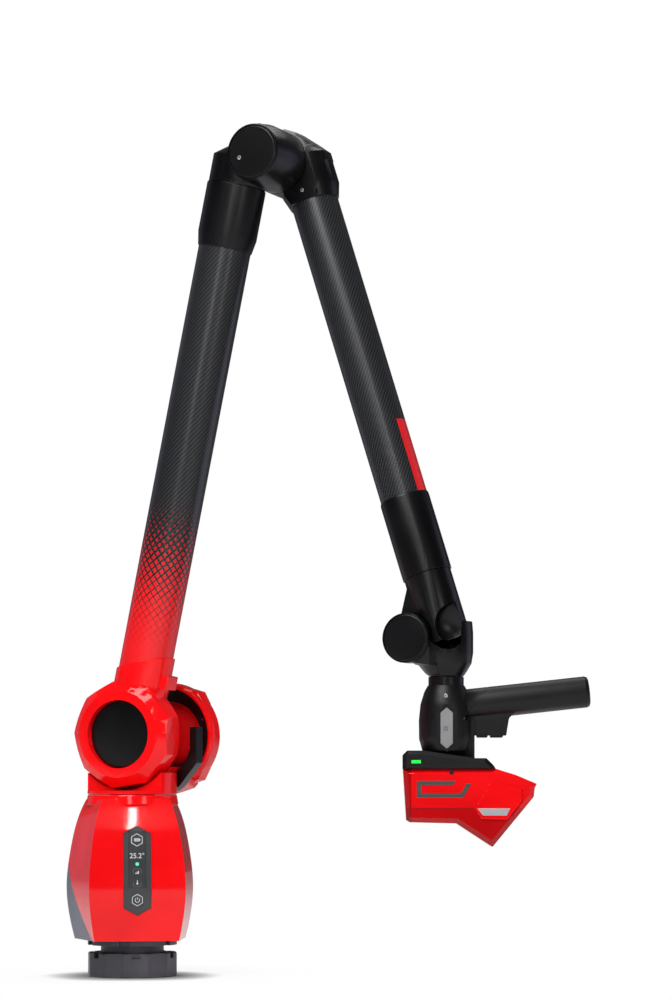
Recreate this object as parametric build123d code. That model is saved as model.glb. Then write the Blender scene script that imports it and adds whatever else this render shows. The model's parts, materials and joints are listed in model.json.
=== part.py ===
from build123d import *
import math
import os

# Portable articulated measuring arm with a scanning head, in millimetres.
# Origin: centre of the mounting ring's open end.  +Z up, control panel faces -Y.
# Each moving group is drawn in its own joint frame and placed by the frames below.

# Joint geometry of the whole arm, as it stands at rest
swivel_turn = -33.2        # the shoulder's turn on the base
shoulder_height = 278.8    # shoulder hinge above the mounting face
upper_lean = 12.2          # upper arm from upright
elbow_reach = 675.0        # shoulder hinge to elbow hinge, along the upper tube
elbow_offset = 28.0        # elbow hinge to one side of the upper tube's axis
plane_shift = 61.0         # the forearm runs this far behind the upper arm
forearm_lean = 18.0        # forearm from upright
forearm_offset = 19.0      # forearm axis to one side of the elbow hinge
wrist_reach = 571.0        # elbow hinge to wrist hinge, along the forearm
wrist_offset = 34.0        # wrist hinge to one side of the forearm axis
neck_offset = 35.0         # hand-piece axis to one side of the wrist hinge
neck_drop = 42.0           # wrist hinge to the top of the hand-piece
head_turn = 23.7           # the hand-piece's turn on its neck

# Clearances
run_gap = 0.05             # radial gap of a shaft or a running fit
seat_gap = 0.2             # between pieces that are assembled and don't move
swing_gap = 0.6            # between bodies that pass each other
seam_gap = 0.5             # at a joint ring that turns

# Mounting ring and base flange
thread_radius = 44.45      # half of the 3.5 inch mounting thread
thread_depth = 14.0
thread_relief = 1.5
ring_radius = 52.0
ring_height = 27.8
ring_sides = 12
ring_notch = 9.0
neck_radius = 36.4
seat_disc_radius = 43.4
seat_disc_thick = 6.0
flange_bottom = 36.4
flange_thick = 6.0
flange_radius = 51.5
flange_notches = 6

# Base body
base_belly_height = 103.0
shell_wall = 3.0
front_depth = 68.0         # axis to the front face at the belly
side_depth = 66.7          # axis to each side face at the belly
side_turn = 10.7           # side faces open towards the back
back_depth = 78.0
back_turn = 52.0
collar_radius = 51.8
collar_height = 5.0
column_radius = 40.0
column_wall = 5.0
shaft_radius = 25.0
shaft_wall = 5.0
base_bearing_width = 16.0

# Control panel
panel_width = 31.6
panel_share = 0.63         # panel's height as a share of the barrel's
panel_point = 8.6          # height of each pointed end
panel_thick = 3.4
panel_sink = 1.2
key_radius = 8.2
key_gap = 0.3
key_travel = 0.8
key_rise = 17.7146         # key's centre above the panel's foot
display_web = 5.6513       # panel left between the key and the display
display_tip = 5.9049       # display's top edge below the panel's upper tip

# Shoulder
hub_sides = 9
hub_radius = 63.0          # over the corners
hub_nose_radius = 50.0     # front edge of the chamfer round the hub
hub_nose_depth = 12.0
hub_front = 36.0           # hub's front face ahead of the upper tube's axis
hub_disc_depth = 39.0
cone_depth = 27.0
drum_radius = 39.0
cap_radius = 39.0
cap_sink = 7.0
cap_thick = 5.0
cheek_radius = 63.0
cheek_corner_radius = 67.0
cheek_front = 80.0
cheek_back = 112.0
cheek_rim = 6.0
cheek_recess = 16.0
liner_wall = 3.0
pin_radius = 15.0
shoulder_bearing_radius = 27.0
shoulder_bearing_width = 12.0

# Upper arm
upper_tube_radius = 30.0
upper_tube_wall = 2.5
collar_wall = 2.2
collar_low = 71.0          # the collar's slanted top, at its low and high side
collar_high = 97.0
rest_block_top = 76.0
rest_block_height = 16.0
upper_sleeve_start = elbow_reach - 110.0
upper_sleeve_end = elbow_reach - 38.0
upper_sleeve_radius = 33.8
sleeve_nose = 31.0

# Elbow
elbow_drum_radius = 35.5
elbow_drum_depth = 66.0
elbow_nose_radius = 31.5   # the drum narrows towards its front cap
elbow_cap_radius = 29.5
elbow_pin_radius = 11.0

# Forearm
forearm_radius = 27.0
forearm_wall = 2.5
head_block_radius = 33.6
head_foot_radius = 28.6
forearm_head_low = 54.0
forearm_sleeve_start = wrist_reach - 157.0
forearm_sleeve_end = wrist_reach - 65.0
forearm_sleeve_radius = 28.4
spindle_radius = 14.0
spindle_wall = 3.0

# Wrist
wrist_radius = 27.0
tang_radius = 25.0
tang_depth = 40.0
fork_radius = 28.0
fork_depth = 72.0
wrist_cap_radius = 26.4
bowl_wall = 2.3
wrist_pin_radius = 8.0
neck_ring_radius = 19.9
neck_ring_height = 10.9

# Hand-piece
grip_radius = 17.6
grip_rise = 6.2
grip_end = 162.6
handle_drop = 97.0         # neck to the handle's lower end
trigger_low = 66.9
trigger_half_width = 11.0
trigger_travel = 1.2
menu_key_width = 13.8
menu_key_height = 46.3
menu_key_middle = 59.2
scanner_half_width = 33.0
scanner_wall = 2.5
cover_half_width = 34.0
cover_low = 104.2


def post(radius, z0, z1, x=0.0, y=0.0):
    """Cylinder along Z."""
    return Pos(x, y, (z0 + z1) / 2) * Cylinder(radius, z1 - z0)


def axle(radius, y0, y1, x=0.0, z=0.0):
    """Cylinder along Y."""
    return Pos(x, (y0 + y1) / 2, z) * Rot(90, 0, 0) * Cylinder(radius, y1 - y0)


def block(x0, x1, y0, y1, z0, z1):
    """Box between two corners."""
    middle = Pos((x0 + x1) / 2, (y0 + y1) / 2, (z0 + z1) / 2)
    return middle * Box(x1 - x0, y1 - y0, z1 - z0)


def plate_y(points, y0, y1):
    """Prism along Y of an outline drawn in X and Z."""
    outline = make_face(Polyline(*[(x, 0, z) for x, z in points], close=True))
    return Pos(0, y0, 0) * extrude(outline, amount=y1 - y0, dir=(0, 1, 0))


def turned(points):
    """Solid of revolution about Z of an outline given as radius and height."""
    outline = make_face(Polyline(*[(r, 0, z) for r, z in points], close=True))
    return revolve(outline, Axis.Z)


def turned_y(points):
    """Solid of revolution about Y of an outline given as radius and depth."""
    return Rot(-90, 0, 0) * turned(points)


def bearing(outer, inner, width):
    """Shielded ball bearing, drawn as one closed ring."""
    return post(outer, 0, width) - post(inner, -1, width + 1)


# Joint frames, each placed in the one before it
yoke_frame = Location((0, 0, 0), (0, 0, swivel_turn))
shoulder_frame = yoke_frame * Location((0, 0, shoulder_height))
upper_frame = shoulder_frame * Location((0, 0, 0), (0, upper_lean, 0))
elbow_frame = upper_frame * Location((elbow_offset, 0, elbow_reach))
forearm_frame = elbow_frame * Location((0, 0, 0), (0, -upper_lean - forearm_lean, 0))
wrist_centre = Location((forearm_offset - wrist_offset, plane_shift, -wrist_reach))
wrist_frame = forearm_frame * wrist_centre * Location((0, 0, 0), (0, forearm_lean, 0))
head_frame = wrist_frame * Location((neck_offset, 0, -neck_drop), (0, 0, head_turn))
grip_frame = Location((0, 0, -35.0), (0, -grip_rise, 0))

nodes = {}


def keep(name, frame, *shapes):
    """Place the shapes of one node and remember them under its name."""
    placed = []
    for shape in shapes:
        placed.extend((frame * shape).solids())
    nodes[name] = placed


# Barrel of the base: prisms with one curved profile, crossed to give a faceted body
base_top = shoulder_height - hub_radius - 6.6
barrel_bottom = flange_bottom + flange_thick + 0.2
barrel_top = base_top - collar_height


def up_barrel(share):
    """Height at a share of the barrel's height."""
    return barrel_bottom + share * (barrel_top - barrel_bottom)


barrel_profile = [(barrel_bottom, 0.875), (up_barrel(0.126), 0.94), (base_belly_height, 1.0),
                  (up_barrel(0.64), 0.94), (up_barrel(0.838), 0.845), (barrel_top, 0.70)]
panel_height = panel_share * (barrel_top - barrel_bottom)
panel_centre_height = up_barrel(0.4975)
power_key_height = panel_centre_height - panel_height / 2 + key_rise


def barrel_prism(depth, inset, z0, z1):
    """Half space bounded by the barrel profile, facing -Y."""
    curve = Spline(*[(0, -(depth * share - inset), z) for z, share in barrel_profile])
    start, end = curve @ 0, curve @ 1
    reach = 200.0
    edges = [curve, Line(end, (0, end.Y, 260)), Line((0, end.Y, 260), (0, reach, 260)),
             Line((0, reach, 260), (0, reach, 0)), Line((0, reach, 0), (0, start.Y, 0)),
             Line((0, start.Y, 0), start)]
    prism = extrude(make_face(edges), amount=reach, dir=(1, 0, 0), both=True)
    return prism & block(-reach, reach, -reach, reach, z0, z1)


def barrel(inset, z0, z1):
    body = barrel_prism(front_depth, inset, z0, z1)
    walls = [(side_depth, 90 - side_turn), (side_depth, side_turn - 90),
             (back_depth, 180 - back_turn), (back_depth, back_turn - 180), (back_depth, 180)]
    for depth, turn in walls:
        body = body & (Rot(0, 0, turn) * barrel_prism(depth, inset, z0, z1))
    return body


def hexagon_long(width, height, point, y0, y1, middle):
    """Upright plate with pointed ends, seen along Y."""
    half, tall = width / 2, height / 2
    outline = [(half, middle - tall + point), (half, middle + tall - point), (0, middle + tall),
               (-half, middle + tall - point), (-half, middle - tall + point), (0, middle - tall)]
    return plate_y(outline, y0, y1)


def hexagon_key(radius, y0, y1, middle):
    corners = [(radius * math.sin(math.radians(60 * i)),
                middle + radius * math.cos(math.radians(60 * i))) for i in range(6)]
    return plate_y(corners, y0, y1)


def mounting_ring():
    """Captive threaded nut with flats, a bore for the mount and a lip round the neck."""
    body = Rot(0, 0, 15) * extrude(RegularPolygon(ring_radius, ring_sides), amount=ring_height)
    body = body & turned([(0, 0), (ring_radius - 2, 0), (ring_radius, 2),
                          (ring_radius, ring_height - 1.5), (ring_radius - 1.5, ring_height),
                          (0, ring_height)])
    seat_top = thread_depth + seat_disc_thick
    body -= post(thread_radius, -1, thread_depth)
    body -= post(thread_radius + thread_relief, thread_depth - seat_gap, seat_top + seam_gap)
    body -= post(neck_radius + run_gap, 0, ring_height + 1)
    for i in range(ring_sides // 2):
        notch = block(ring_radius - 7, ring_radius + 5, -ring_notch / 2, ring_notch / 2,
                      ring_height - 6, ring_height + 1)
        body -= Rot(0, 0, 30 + 360 * i / (ring_sides // 2)) * notch
    return body


def base_flange_shape(column_top):
    """Seat disc inside the ring, visible neck, flange under the shell and the column above it."""
    top = flange_bottom + flange_thick
    body = turned([(0, thread_depth), (seat_disc_radius, thread_depth),
                   (seat_disc_radius, thread_depth + seat_disc_thick),
                   (neck_radius, thread_depth + seat_disc_thick), (neck_radius, flange_bottom),
                   (flange_radius, flange_bottom), (flange_radius, top), (0, top)])
    for i in range(flange_notches):
        notch = block(flange_radius - 4, flange_radius + 2, -6, 6, flange_bottom - 1, top + 1)
        body -= Rot(0, 0, 15 + 360 * i / flange_notches) * notch
    bore = column_radius - column_wall
    body += post(column_radius, top - 1, column_top)
    body -= post(bore, top, column_top + 1)
    for z in (up_barrel(0.244), up_barrel(0.677)):
        body += block(-8, 8, board_face, -bore - 2, z - 4, z + 4)
    return body


panel_back = panel_sink + panel_thick
board_face = -48.0
front_band_depth = 30.0
panel_hole = hexagon_long(panel_width + 2 * seat_gap, panel_height + 2 * seat_gap, panel_point,
                          -front_depth - 5, -front_depth + front_band_depth, panel_centre_height)


def front_layer(outer_inset, inner_inset):
    """Layer that follows the front face, between two depths under it."""
    outer = barrel_prism(front_depth, outer_inset, barrel_bottom, barrel_top)
    inner = barrel_prism(front_depth, inner_inset, barrel_bottom, barrel_top)
    return (outer - inner) & block(-40, 40, -100, 0, barrel_bottom, barrel_top)


def base_parts():
    floor_top = barrel_bottom + shell_wall
    outer = barrel(0, barrel_bottom, barrel_top)
    inner = barrel(shell_wall, floor_top, barrel_top - shell_wall)
    rim = turned([(0, barrel_top - shell_wall), (collar_radius, barrel_top - shell_wall),
                  (collar_radius, base_top - 1), (collar_radius - 1, base_top), (0, base_top)])
    blend = loft([Plane.XY.offset(barrel_top - 6) * Circle(collar_radius + 1.5),
                  Plane.XY.offset(barrel_top + 3) * Circle(collar_radius)])
    shell = outer + blend + rim - inner
    shell -= post(shaft_radius + 3, barrel_top - 2 * shell_wall, base_top + 1)
    shell -= post(column_radius + seat_gap, barrel_bottom - 1, floor_top + 1)
    # The rear cover wraps round the back, its seam slanting far forward on the left side only
    def rear_zone(gap):
        low, middle, top = barrel_bottom - 1, up_barrel(0.64), base_top - 22 - gap
        zone = None
        for foot, x0, x1 in ((-52.0, -100, -20 - gap), (44.0, -20 - gap, 100)):
            seam = [(foot + gap, low), (48 + gap, middle), (48 + gap, top), (120, top), (120, low)]
            part = Rot(0, 0, 90) * plate_y(seam, -x1, -x0)
            zone = part if zone is None else zone + part
        return zone

    front = shell - rear_zone(0) - panel_hole
    rear = shell & rear_zone(seat_gap)
    socket_plate_half = 24.0
    socket_low, socket_high = 56.0, 82.0
    back_face = back_depth
    opening = block(-socket_plate_half, socket_plate_half, back_face - 16, back_face + 5,
                    socket_low, socket_high)
    rear -= opening
    socket_plate = block(-socket_plate_half + seat_gap, socket_plate_half - seat_gap,
                         back_face - 12, back_face - 8, socket_low + seat_gap,
                         socket_high - seat_gap)
    for x, radius in [(-14, 6.0), (2, 5.0)]:
        socket_plate -= axle(radius, back_face - 9.5, back_face, x=x, z=(socket_low + socket_high) / 2)
    socket_plate -= block(11, 19, back_face - 9.5, back_face, 67, 71)
    keep("front_shell", Location(), front)
    keep("rear_cover", Location(), rear)
    keep("socket_plate", Location(), socket_plate)
    bore = column_radius - column_wall
    column_top = barrel_top - shell_wall - seat_gap
    column_low = flange_bottom + flange_thick
    keep("base_flange", Location(), base_flange_shape(column_top))
    low_seat, high_seat = column_low + 8, column_top - 8 - base_bearing_width
    ring = bearing(bore, shaft_radius + run_gap, base_bearing_width)
    keep("base_bearings", Location(), Pos(0, 0, low_seat) * ring, Pos(0, 0, high_seat) * ring)
    keep("circuit_board", Location(), block(-26, 26, board_face - 1.6, board_face,
                                            up_barrel(0.195), up_barrel(0.8)))
    keep("battery_pack", Location(), block(-30, 30, column_radius + 1, column_radius + 23,
                                           floor_top, up_barrel(0.56)))
    disc_z = low_seat + base_bearing_width + 15
    disc = post(31.0, disc_z, disc_z + 2) - post(shaft_radius, disc_z - 1, disc_z + 3)
    panel = hexagon_long(panel_width, panel_height, panel_point, -100, 0, panel_centre_height)
    panel = panel & front_layer(panel_sink, panel_back)
    panel -= hexagon_key(key_radius + key_gap, -100, 0, power_key_height)
    display_half = 10.0
    display_low = power_key_height + key_radius + key_gap + display_web
    display_high = panel_centre_height + panel_height / 2 - display_tip
    display_zone = block(-display_half, display_half, -100, 0, display_low, display_high)
    panel -= block(-display_half - seat_gap, display_half + seat_gap, -100, 0,
                   display_low - seat_gap, display_high + seat_gap)
    keep("control_panel", Location(), panel)
    keep("display_window", Location(), display_zone & front_layer(panel_sink + 0.3, panel_back))
    key = hexagon_key(key_radius, -100, 0, power_key_height)
    keep("power_button", Location(), key & front_layer(panel_sink - 0.4, panel_back))
    keep("mount_ring", Location(), mounting_ring())
    return disc


def shoulder_hub_shape():
    """Disc, cone and drum of the upper arm's root, open inside for bearings and spring."""
    back = hub_disc_depth - hub_front
    cone_end = back + cone_depth
    drum_end = cheek_front + cheek_recess - 6
    body = turned_y([(0, -hub_front), (hub_nose_radius, -hub_front),
                     (hub_radius + 1, -hub_front + hub_nose_depth), (hub_radius + 1, back - 5),
                     (hub_radius - 3, back), (drum_radius + 3, cone_end),
                     (drum_radius, cone_end + 4), (drum_radius, drum_end), (0, drum_end)])
    flats = extrude(RegularPolygon(hub_radius, hub_sides), amount=200, both=True)
    body = body & (Rot(0, 90, 0) * Rot(90, 0, 0) * flats)
    stub = post(upper_tube_radius - upper_tube_wall - seat_gap, 20, collar_high)
    shoulder = post(upper_tube_radius + collar_wall, 20, 60)
    body = body + shoulder + stub
    body -= axle(cap_radius + seat_gap, -hub_front - 1, -hub_front + cap_sink + cap_thick)
    body -= axle(pin_radius + 6, -hub_front, drum_end + 1)
    body -= axle(shoulder_bearing_radius, -hub_front, -hub_front + cap_sink + cap_thick
                 + shoulder_bearing_width)
    body -= axle(shoulder_bearing_radius + 5, back + 14, drum_end + 1)
    body -= post(18, 24, collar_high + 1)
    return body, drum_end


def shoulder_parts(disc):
    body, drum_end = shoulder_hub_shape()
    keep("shoulder_hub", upper_frame, body)
    cap_front = -hub_front + cap_sink
    hub_cap = turned_y([(0, cap_front), (cap_radius - 2, cap_front), (cap_radius, cap_front + 2),
                        (cap_radius, cap_front + cap_thick), (0, cap_front + cap_thick)])
    keep("shoulder_cap", upper_frame, hub_cap)
    ring = bearing(shoulder_bearing_radius, pin_radius + run_gap, shoulder_bearing_width)
    front_seat = cap_front + cap_thick
    rear_ring = bearing(shoulder_bearing_radius + 5, pin_radius + run_gap, shoulder_bearing_width)
    rear_seat = drum_end - shoulder_bearing_width
    keep("shoulder_bearings", upper_frame, Pos(0, front_seat, 0) * Rot(-90, 0, 0) * ring,
         Pos(0, rear_seat, 0) * Rot(-90, 0, 0) * rear_ring)
    spring_start = hub_disc_depth - hub_front + 14
    inner, outer = pin_radius + 3, shoulder_bearing_radius + 4.8
    spring = axle(outer, spring_start, rear_seat) - axle(inner, spring_start - 1, rear_seat + 1)
    keep("counterbalance_spring", upper_frame, spring)

    # Yoke: low neck in front, swept up at the back into one cheek beside the hub's drum
    low = base_top + seam_gap
    deck_top = shoulder_height - hub_radius - 2.0
    neck_rise = shoulder_height - 44.0
    neck = turned([(0, low), (collar_radius - 1, low), (collar_radius, low + 1),
                   (collar_radius, neck_rise), (0, neck_rise)])
    neck -= block(-60, 60, -60, -20, deck_top, neck_rise + 1)
    web_top = deck_top + 28
    web = plate_y([(-31, low + 1.6), (31, low + 1.6), (42, low + 15), (46.5, web_top),
                   (-46.5, web_top), (-42, low + 15)], 4, cheek_back)
    plan = Polyline((-46, 0), (46, 0), (46, 30), (38, 80), (28, cheek_back), (-28, cheek_back),
                    (-38, 80), (-46, 30), close=True)
    web = web & extrude(make_face(plan), amount=400)
    cheek = turned_y([(0, cheek_front), (cheek_radius - 3, cheek_front),
                      (cheek_radius, cheek_front + 3), (cheek_radius, cheek_back - 12),
                      (cheek_radius - 4, cheek_back - 4), (cheek_radius - 12, cheek_back),
                      (0, cheek_back)])
    # Four blunt corners on the cheek's edge
    spread = math.radians(14)
    side = (cheek_radius - 0.6) * math.cos(spread), (cheek_radius - 0.6) * math.sin(spread)
    for turn in (51, 129, 231, 309):
        corner = [(20, 0), (side[0], -side[1]), (cheek_corner_radius, 0), side]
        cheek += Rot(0, turn, 0) * plate_y(corner, cheek_front + 4, cheek_back - 9)
    yoke = neck + web + Pos(0, 0, shoulder_height) * cheek
    underside = [(50, low), (cheek_back + 2, low + 13), (cheek_back + 2, 100), (50, 100)]
    yoke -= Rot(0, 0, 90) * plate_y(underside, -120, 120)
    pass_gap = swing_gap
    room = turned_y([(0, -hub_front - 20), (hub_radius + 1.5, -hub_front - 20),
                     (hub_radius + 1.5, hub_disc_depth - hub_front + pass_gap),
                     (hub_radius - 3, hub_disc_depth - hub_front + pass_gap),
                     (drum_radius + 4.5, hub_disc_depth - hub_front + cone_depth + pass_gap),
                     (drum_radius + 1.5, hub_disc_depth - hub_front + cone_depth + 5),
                     (drum_radius + 1.5, cheek_front + 1), (0, cheek_front + 1)])
    yoke -= Pos(0, 0, shoulder_height) * room
    recess = cheek_radius - cheek_rim
    yoke -= axle(recess, cheek_front - 1, cheek_front + cheek_recess, z=shoulder_height)
    yoke -= axle(cap_radius + seat_gap, cheek_back - cap_sink, cheek_back + 1, z=shoulder_height)
    yoke -= axle(pin_radius, cheek_front, cheek_back, z=shoulder_height)
    yoke -= post(shaft_radius, low - 1, low + 3.4)
    # Stop bracket beside the hub's cone, where the rest block lands
    bracket_start, bracket_end = 22.0, 38.0
    plate_top = shoulder_height + 9.2
    bend = shoulder_height - 32.8
    outline = [(24, deck_top), (42, deck_top), (50, deck_top + 6), (72, bend), (72, plate_top),
               (63, plate_top), (63, bend + 16), (58, bend + 4), (46, bend - 10), (24, bend - 18)]
    bracket = plate_y(outline, bracket_start, bracket_end)
    bracket -= Pos(0, 0, shoulder_height) * room
    keep("stop_bracket", yoke_frame, bracket)
    yoke -= bracket
    keep("shoulder_yoke", yoke_frame, yoke)
    liner = turned_y([(drum_radius + 2, cheek_front + cheek_recess - liner_wall),
                      (recess - liner_wall, cheek_front + cheek_recess - liner_wall),
                      (recess - liner_wall, cheek_front - 0.6), (recess, cheek_front - 0.6),
                      (recess, cheek_front + cheek_recess),
                      (drum_radius + 2, cheek_front + cheek_recess)])
    keep("cheek_liner", shoulder_frame, liner)
    cap_seat = cheek_back - cap_sink
    rear_cap = turned_y([(0, cap_seat), (cap_radius, cap_seat), (cap_radius, cap_seat + 3),
                         (cap_radius - 2, cap_seat + cap_thick), (0, cap_seat + cap_thick)])
    keep("cheek_cap", shoulder_frame, rear_cap)
    pin_start = cap_front + cap_thick + 0.5
    pin = axle(pin_radius, pin_start, cap_seat)
    keep("shoulder_pin", shoulder_frame, pin)
    shaft_low = flange_bottom + flange_thick + 2
    shaft = post(shaft_radius, shaft_low, low + 3.4) - post(shaft_radius - shaft_wall,
                                                            shaft_low - 1, low + 5)
    keep("swivel_shaft", yoke_frame, shaft)
    keep("base_encoder_disc", yoke_frame, disc)
    lamp = Pos(46, cheek_front + cheek_recess - liner_wall, 20) * Rot(90, 0, 0) * Cylinder(
        2.2, 2, align=(Align.CENTER, Align.CENTER, Align.MIN))
    keep("shoulder_lamp", shoulder_frame, lamp)


def upper_arm_parts():
    inner = upper_tube_radius
    outer = upper_tube_radius + collar_wall
    collar = post(outer, 60, collar_high + 10) - post(inner, 59, collar_high + 11)
    rise = collar_high - collar_low
    above = plate_y([(-outer - 1, collar_low), (outer + 1, collar_high),
                     (outer + 1, collar_high + 20), (-outer - 1, collar_high + 20)], -60, 60)
    collar -= above
    keep("arm_collar", upper_frame, collar)
    rest = block(outer - 6, outer + 6, -13, 13, rest_block_top - rest_block_height, rest_block_top)
    rest = fillet(rest.edges().filter_by(Axis.Z), 1.5)
    rest -= post(outer, 0, 200)
    keep("rest_block", upper_frame, rest)
    tube_start, tube_end = 60.0, upper_sleeve_start + 20
    tube = post(upper_tube_radius, tube_start, tube_end)
    tube -= post(upper_tube_radius - upper_tube_wall, tube_start - 1, tube_end + 1)
    keep("upper_tube", upper_frame, tube)
    seat = upper_tube_radius
    nose = upper_sleeve_start
    bore = 28.0
    sleeve = turned([(seat, nose), (sleeve_nose, nose), (upper_sleeve_radius, nose + 16),
                     (upper_sleeve_radius, upper_sleeve_end), (bore, upper_sleeve_end),
                     (bore, tube_end), (seat, tube_end)])
    keep("upper_sleeve", upper_frame, sleeve)
    ring = bearing(bore, spindle_radius + run_gap, 10)
    keep("upper_twist_bearings", upper_frame, Pos(0, 0, tube_end + 2) * ring,
         Pos(0, 0, upper_sleeve_end - 12) * ring)


def elbow_parts():
    """Elbow housing: a socket on the upper sleeve that leans over to a drum across it."""
    low = upper_sleeve_end + seam_gap - elbow_reach
    side = -elbow_offset
    half = elbow_drum_depth / 2
    socket_radius = upper_sleeve_radius - 1.2
    drum = turned_y([(0, -half), (elbow_nose_radius - 1, -half), (elbow_nose_radius, -half + 1.5),
                     (elbow_drum_radius, -half + 26), (elbow_drum_radius, half - 1),
                     (elbow_drum_radius - 1, half), (0, half)])
    socket = post(socket_radius, low, -6, x=side)
    dome = loft([Plane.XY.offset(-6) * Pos(side, 0) * Circle(socket_radius),
                 Plane.XY.offset(14) * Pos(side + 16, 0) * Circle(socket_radius - 14)])
    bridge = plate_y([(side - 6, -10), (side + 13, 13), (-14, 30), (0, 33), (0, -33),
                      (-8, -33), (side + 8, low + 1), (side - 6, low + 1)], -26.5, 26.5)
    housing = socket + dome + bridge + drum
    cap_cut = axle(elbow_cap_radius + seat_gap, -half - 1, -half + 2.5)
    housing -= cap_cut
    spindle_top = -16.0
    housing -= post(spindle_radius, low - 1, spindle_top, x=side)
    housing -= axle(elbow_pin_radius, -half + 8, half + 1)
    keep("elbow_housing", elbow_frame, housing)
    cap = turned_y([(0, -half - 0.6), (elbow_cap_radius - 1.2, -half - 0.6),
                    (elbow_cap_radius, -half + 0.6), (elbow_cap_radius, -half + 2.5),
                    (0, -half + 2.5)])
    keep("elbow_cap", elbow_frame, cap)
    spindle_low = upper_sleeve_start + 21 - elbow_reach
    spindle = post(spindle_radius, spindle_low, spindle_top, x=side)
    spindle -= post(spindle_radius - spindle_wall, spindle_low - 1, spindle_top - 4, x=side)
    keep("upper_twist_spindle", elbow_frame, spindle)
    pin_end = plane_shift + forearm_offset
    keep("elbow_pin", elbow_frame, axle(elbow_pin_radius, -half + 8, pin_end - 4))


def forearm_parts():
    face = elbow_drum_depth / 2 + 1.0
    axis_x, axis_y = forearm_offset, plane_shift
    back = axis_y + 26.0
    # Head: a drum about the hinge that flows into a round socket along the forearm
    drum = turned_y([(0, face), (elbow_drum_radius, face), (elbow_drum_radius, back - 10),
                     (elbow_drum_radius - 8, back), (0, back)])
    socket = turned([(0, -forearm_head_low), (head_foot_radius, -forearm_head_low),
                     (head_block_radius, -forearm_head_low + 16), (head_block_radius, -3),
                     (25, 8), (0, 8)])
    socket = Pos(axis_x, axis_y, 0) * socket & block(-60, 120, face, 120, -200, 60)
    block_outline = [(-8, -14), (52, -14), (52, -3), (43, 9), (27, 29), (14, 39), (0, 37), (-8, 20)]
    face_outline = [(-4, -14), (38, -14), (37, -3), (30, 7), (18, 25), (8, 35), (0, 35), (-4, 20)]
    bevel = loft([make_face(Polyline(*[(x, face, z) for x, z in face_outline], close=True)),
                  make_face(Polyline(*[(x, face + 16, z) for x, z in block_outline], close=True))],
                 ruled=True)
    cheek = plate_y([(-4, 0), (-4, -40), (1, -forearm_head_low + 1), (34, -forearm_head_low + 1),
                     (34, 0)], face, axis_y)
    body = drum + socket + bevel + plate_y(block_outline, face + 16, axis_y + 10) + cheek
    # A spigot inside the tube carries the head
    spigot = forearm_radius - forearm_wall - seat_gap
    body += post(spigot, -forearm_head_low - 26, -30, x=axis_x, y=axis_y)
    body -= post(spigot - 4, -forearm_head_low - 27, -40, x=axis_x, y=axis_y)
    bore = 24.0
    body -= axle(elbow_pin_radius + 8, face - 1, face + 10)
    body -= axle(elbow_pin_radius + 8, back - 18, back - 8)
    body -= axle(elbow_pin_radius + 2, face - 1, back - 10)
    keep("forearm_head", forearm_frame, body)
    ring = bearing(elbow_pin_radius + 8, elbow_pin_radius + run_gap, 10)
    keep("elbow_bearings", forearm_frame, Pos(0, face, 0) * Rot(-90, 0, 0) * ring,
         Pos(0, back - 18, 0) * Rot(-90, 0, 0) * ring)
    tube_top, tube_low = -forearm_head_low, -forearm_sleeve_start - 20
    tube = post(forearm_radius, tube_low, tube_top, x=axis_x, y=axis_y)
    tube -= post(forearm_radius - forearm_wall, tube_low - 1, tube_top + 1, x=axis_x, y=axis_y)
    keep("forearm_tube", forearm_frame, tube)
    sleeve = turned([(forearm_radius, -forearm_sleeve_start),
                     (forearm_radius + 0.9, -forearm_sleeve_start),
                     (forearm_sleeve_radius, -forearm_sleeve_start - 3),
                     (forearm_sleeve_radius, -forearm_sleeve_end), (bore, -forearm_sleeve_end),
                     (bore, tube_low), (forearm_radius, tube_low)])
    keep("forearm_sleeve", forearm_frame, Pos(axis_x, axis_y, 0) * sleeve)
    ring = bearing(bore, spindle_radius + run_gap, 10)
    keep("forearm_twist_bearings", forearm_frame,
         Pos(axis_x, axis_y, tube_low - 12) * ring,
         Pos(axis_x, axis_y, -forearm_sleeve_end + 2) * ring)


def wrist_parts():
    """Wrist: a round tube that stands in the fork's bowl and steps over to a tang."""
    top = -forearm_sleeve_end - seam_gap
    axis_x, axis_y = forearm_offset, plane_shift
    hinge_x, hinge_z = forearm_offset - wrist_offset, -wrist_reach
    half = tang_depth / 2
    tube = post(wrist_radius, hinge_z - 15, top, x=axis_x, y=axis_y)
    # An arch in the front of the tube's end, over the notch in the bowl's rim
    tube -= axle(25, 0, axis_y - 8, x=hinge_x + 60, z=hinge_z - 2)
    tube -= block(hinge_x + 60, hinge_x + 100, 0, axis_y - 8, hinge_z - 40, hinge_z - 2)
    sides = block(hinge_x - 60, axis_x + 30, 0, axis_y - half, hinge_z - 60, hinge_z + 60)
    sides += block(hinge_x - 60, axis_x + 30, axis_y + half, 130, hinge_z - 60, hinge_z + 60)
    tube -= sides & axle(fork_radius + 1.5, 0, 130, x=hinge_x, z=hinge_z)
    tang = axle(tang_radius, axis_y - half, axis_y + half, x=hinge_x, z=hinge_z)
    bridge = plate_y([(hinge_x - 6, hinge_z + 24), (axis_x - 20, top - 8), (axis_x, top - 8),
                      (axis_x, hinge_z - 4), (hinge_x, hinge_z - tang_radius + 1)],
                     axis_y - half, axis_y + half)
    housing = tube + tang + bridge
    housing -= axle(wrist_pin_radius + run_gap, 0, 130, x=hinge_x, z=hinge_z)
    housing -= post(spindle_radius, top - 20, top + 1, x=axis_x, y=axis_y)
    keep("wrist_housing", forearm_frame, housing)
    spindle_top = -forearm_sleeve_start - 24
    spindle = post(spindle_radius, top - 20, spindle_top, x=axis_x, y=axis_y)
    spindle -= post(spindle_radius - spindle_wall, top - 12, spindle_top + 1, x=axis_x, y=axis_y)
    keep("forearm_twist_spindle", forearm_frame, spindle)


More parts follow.
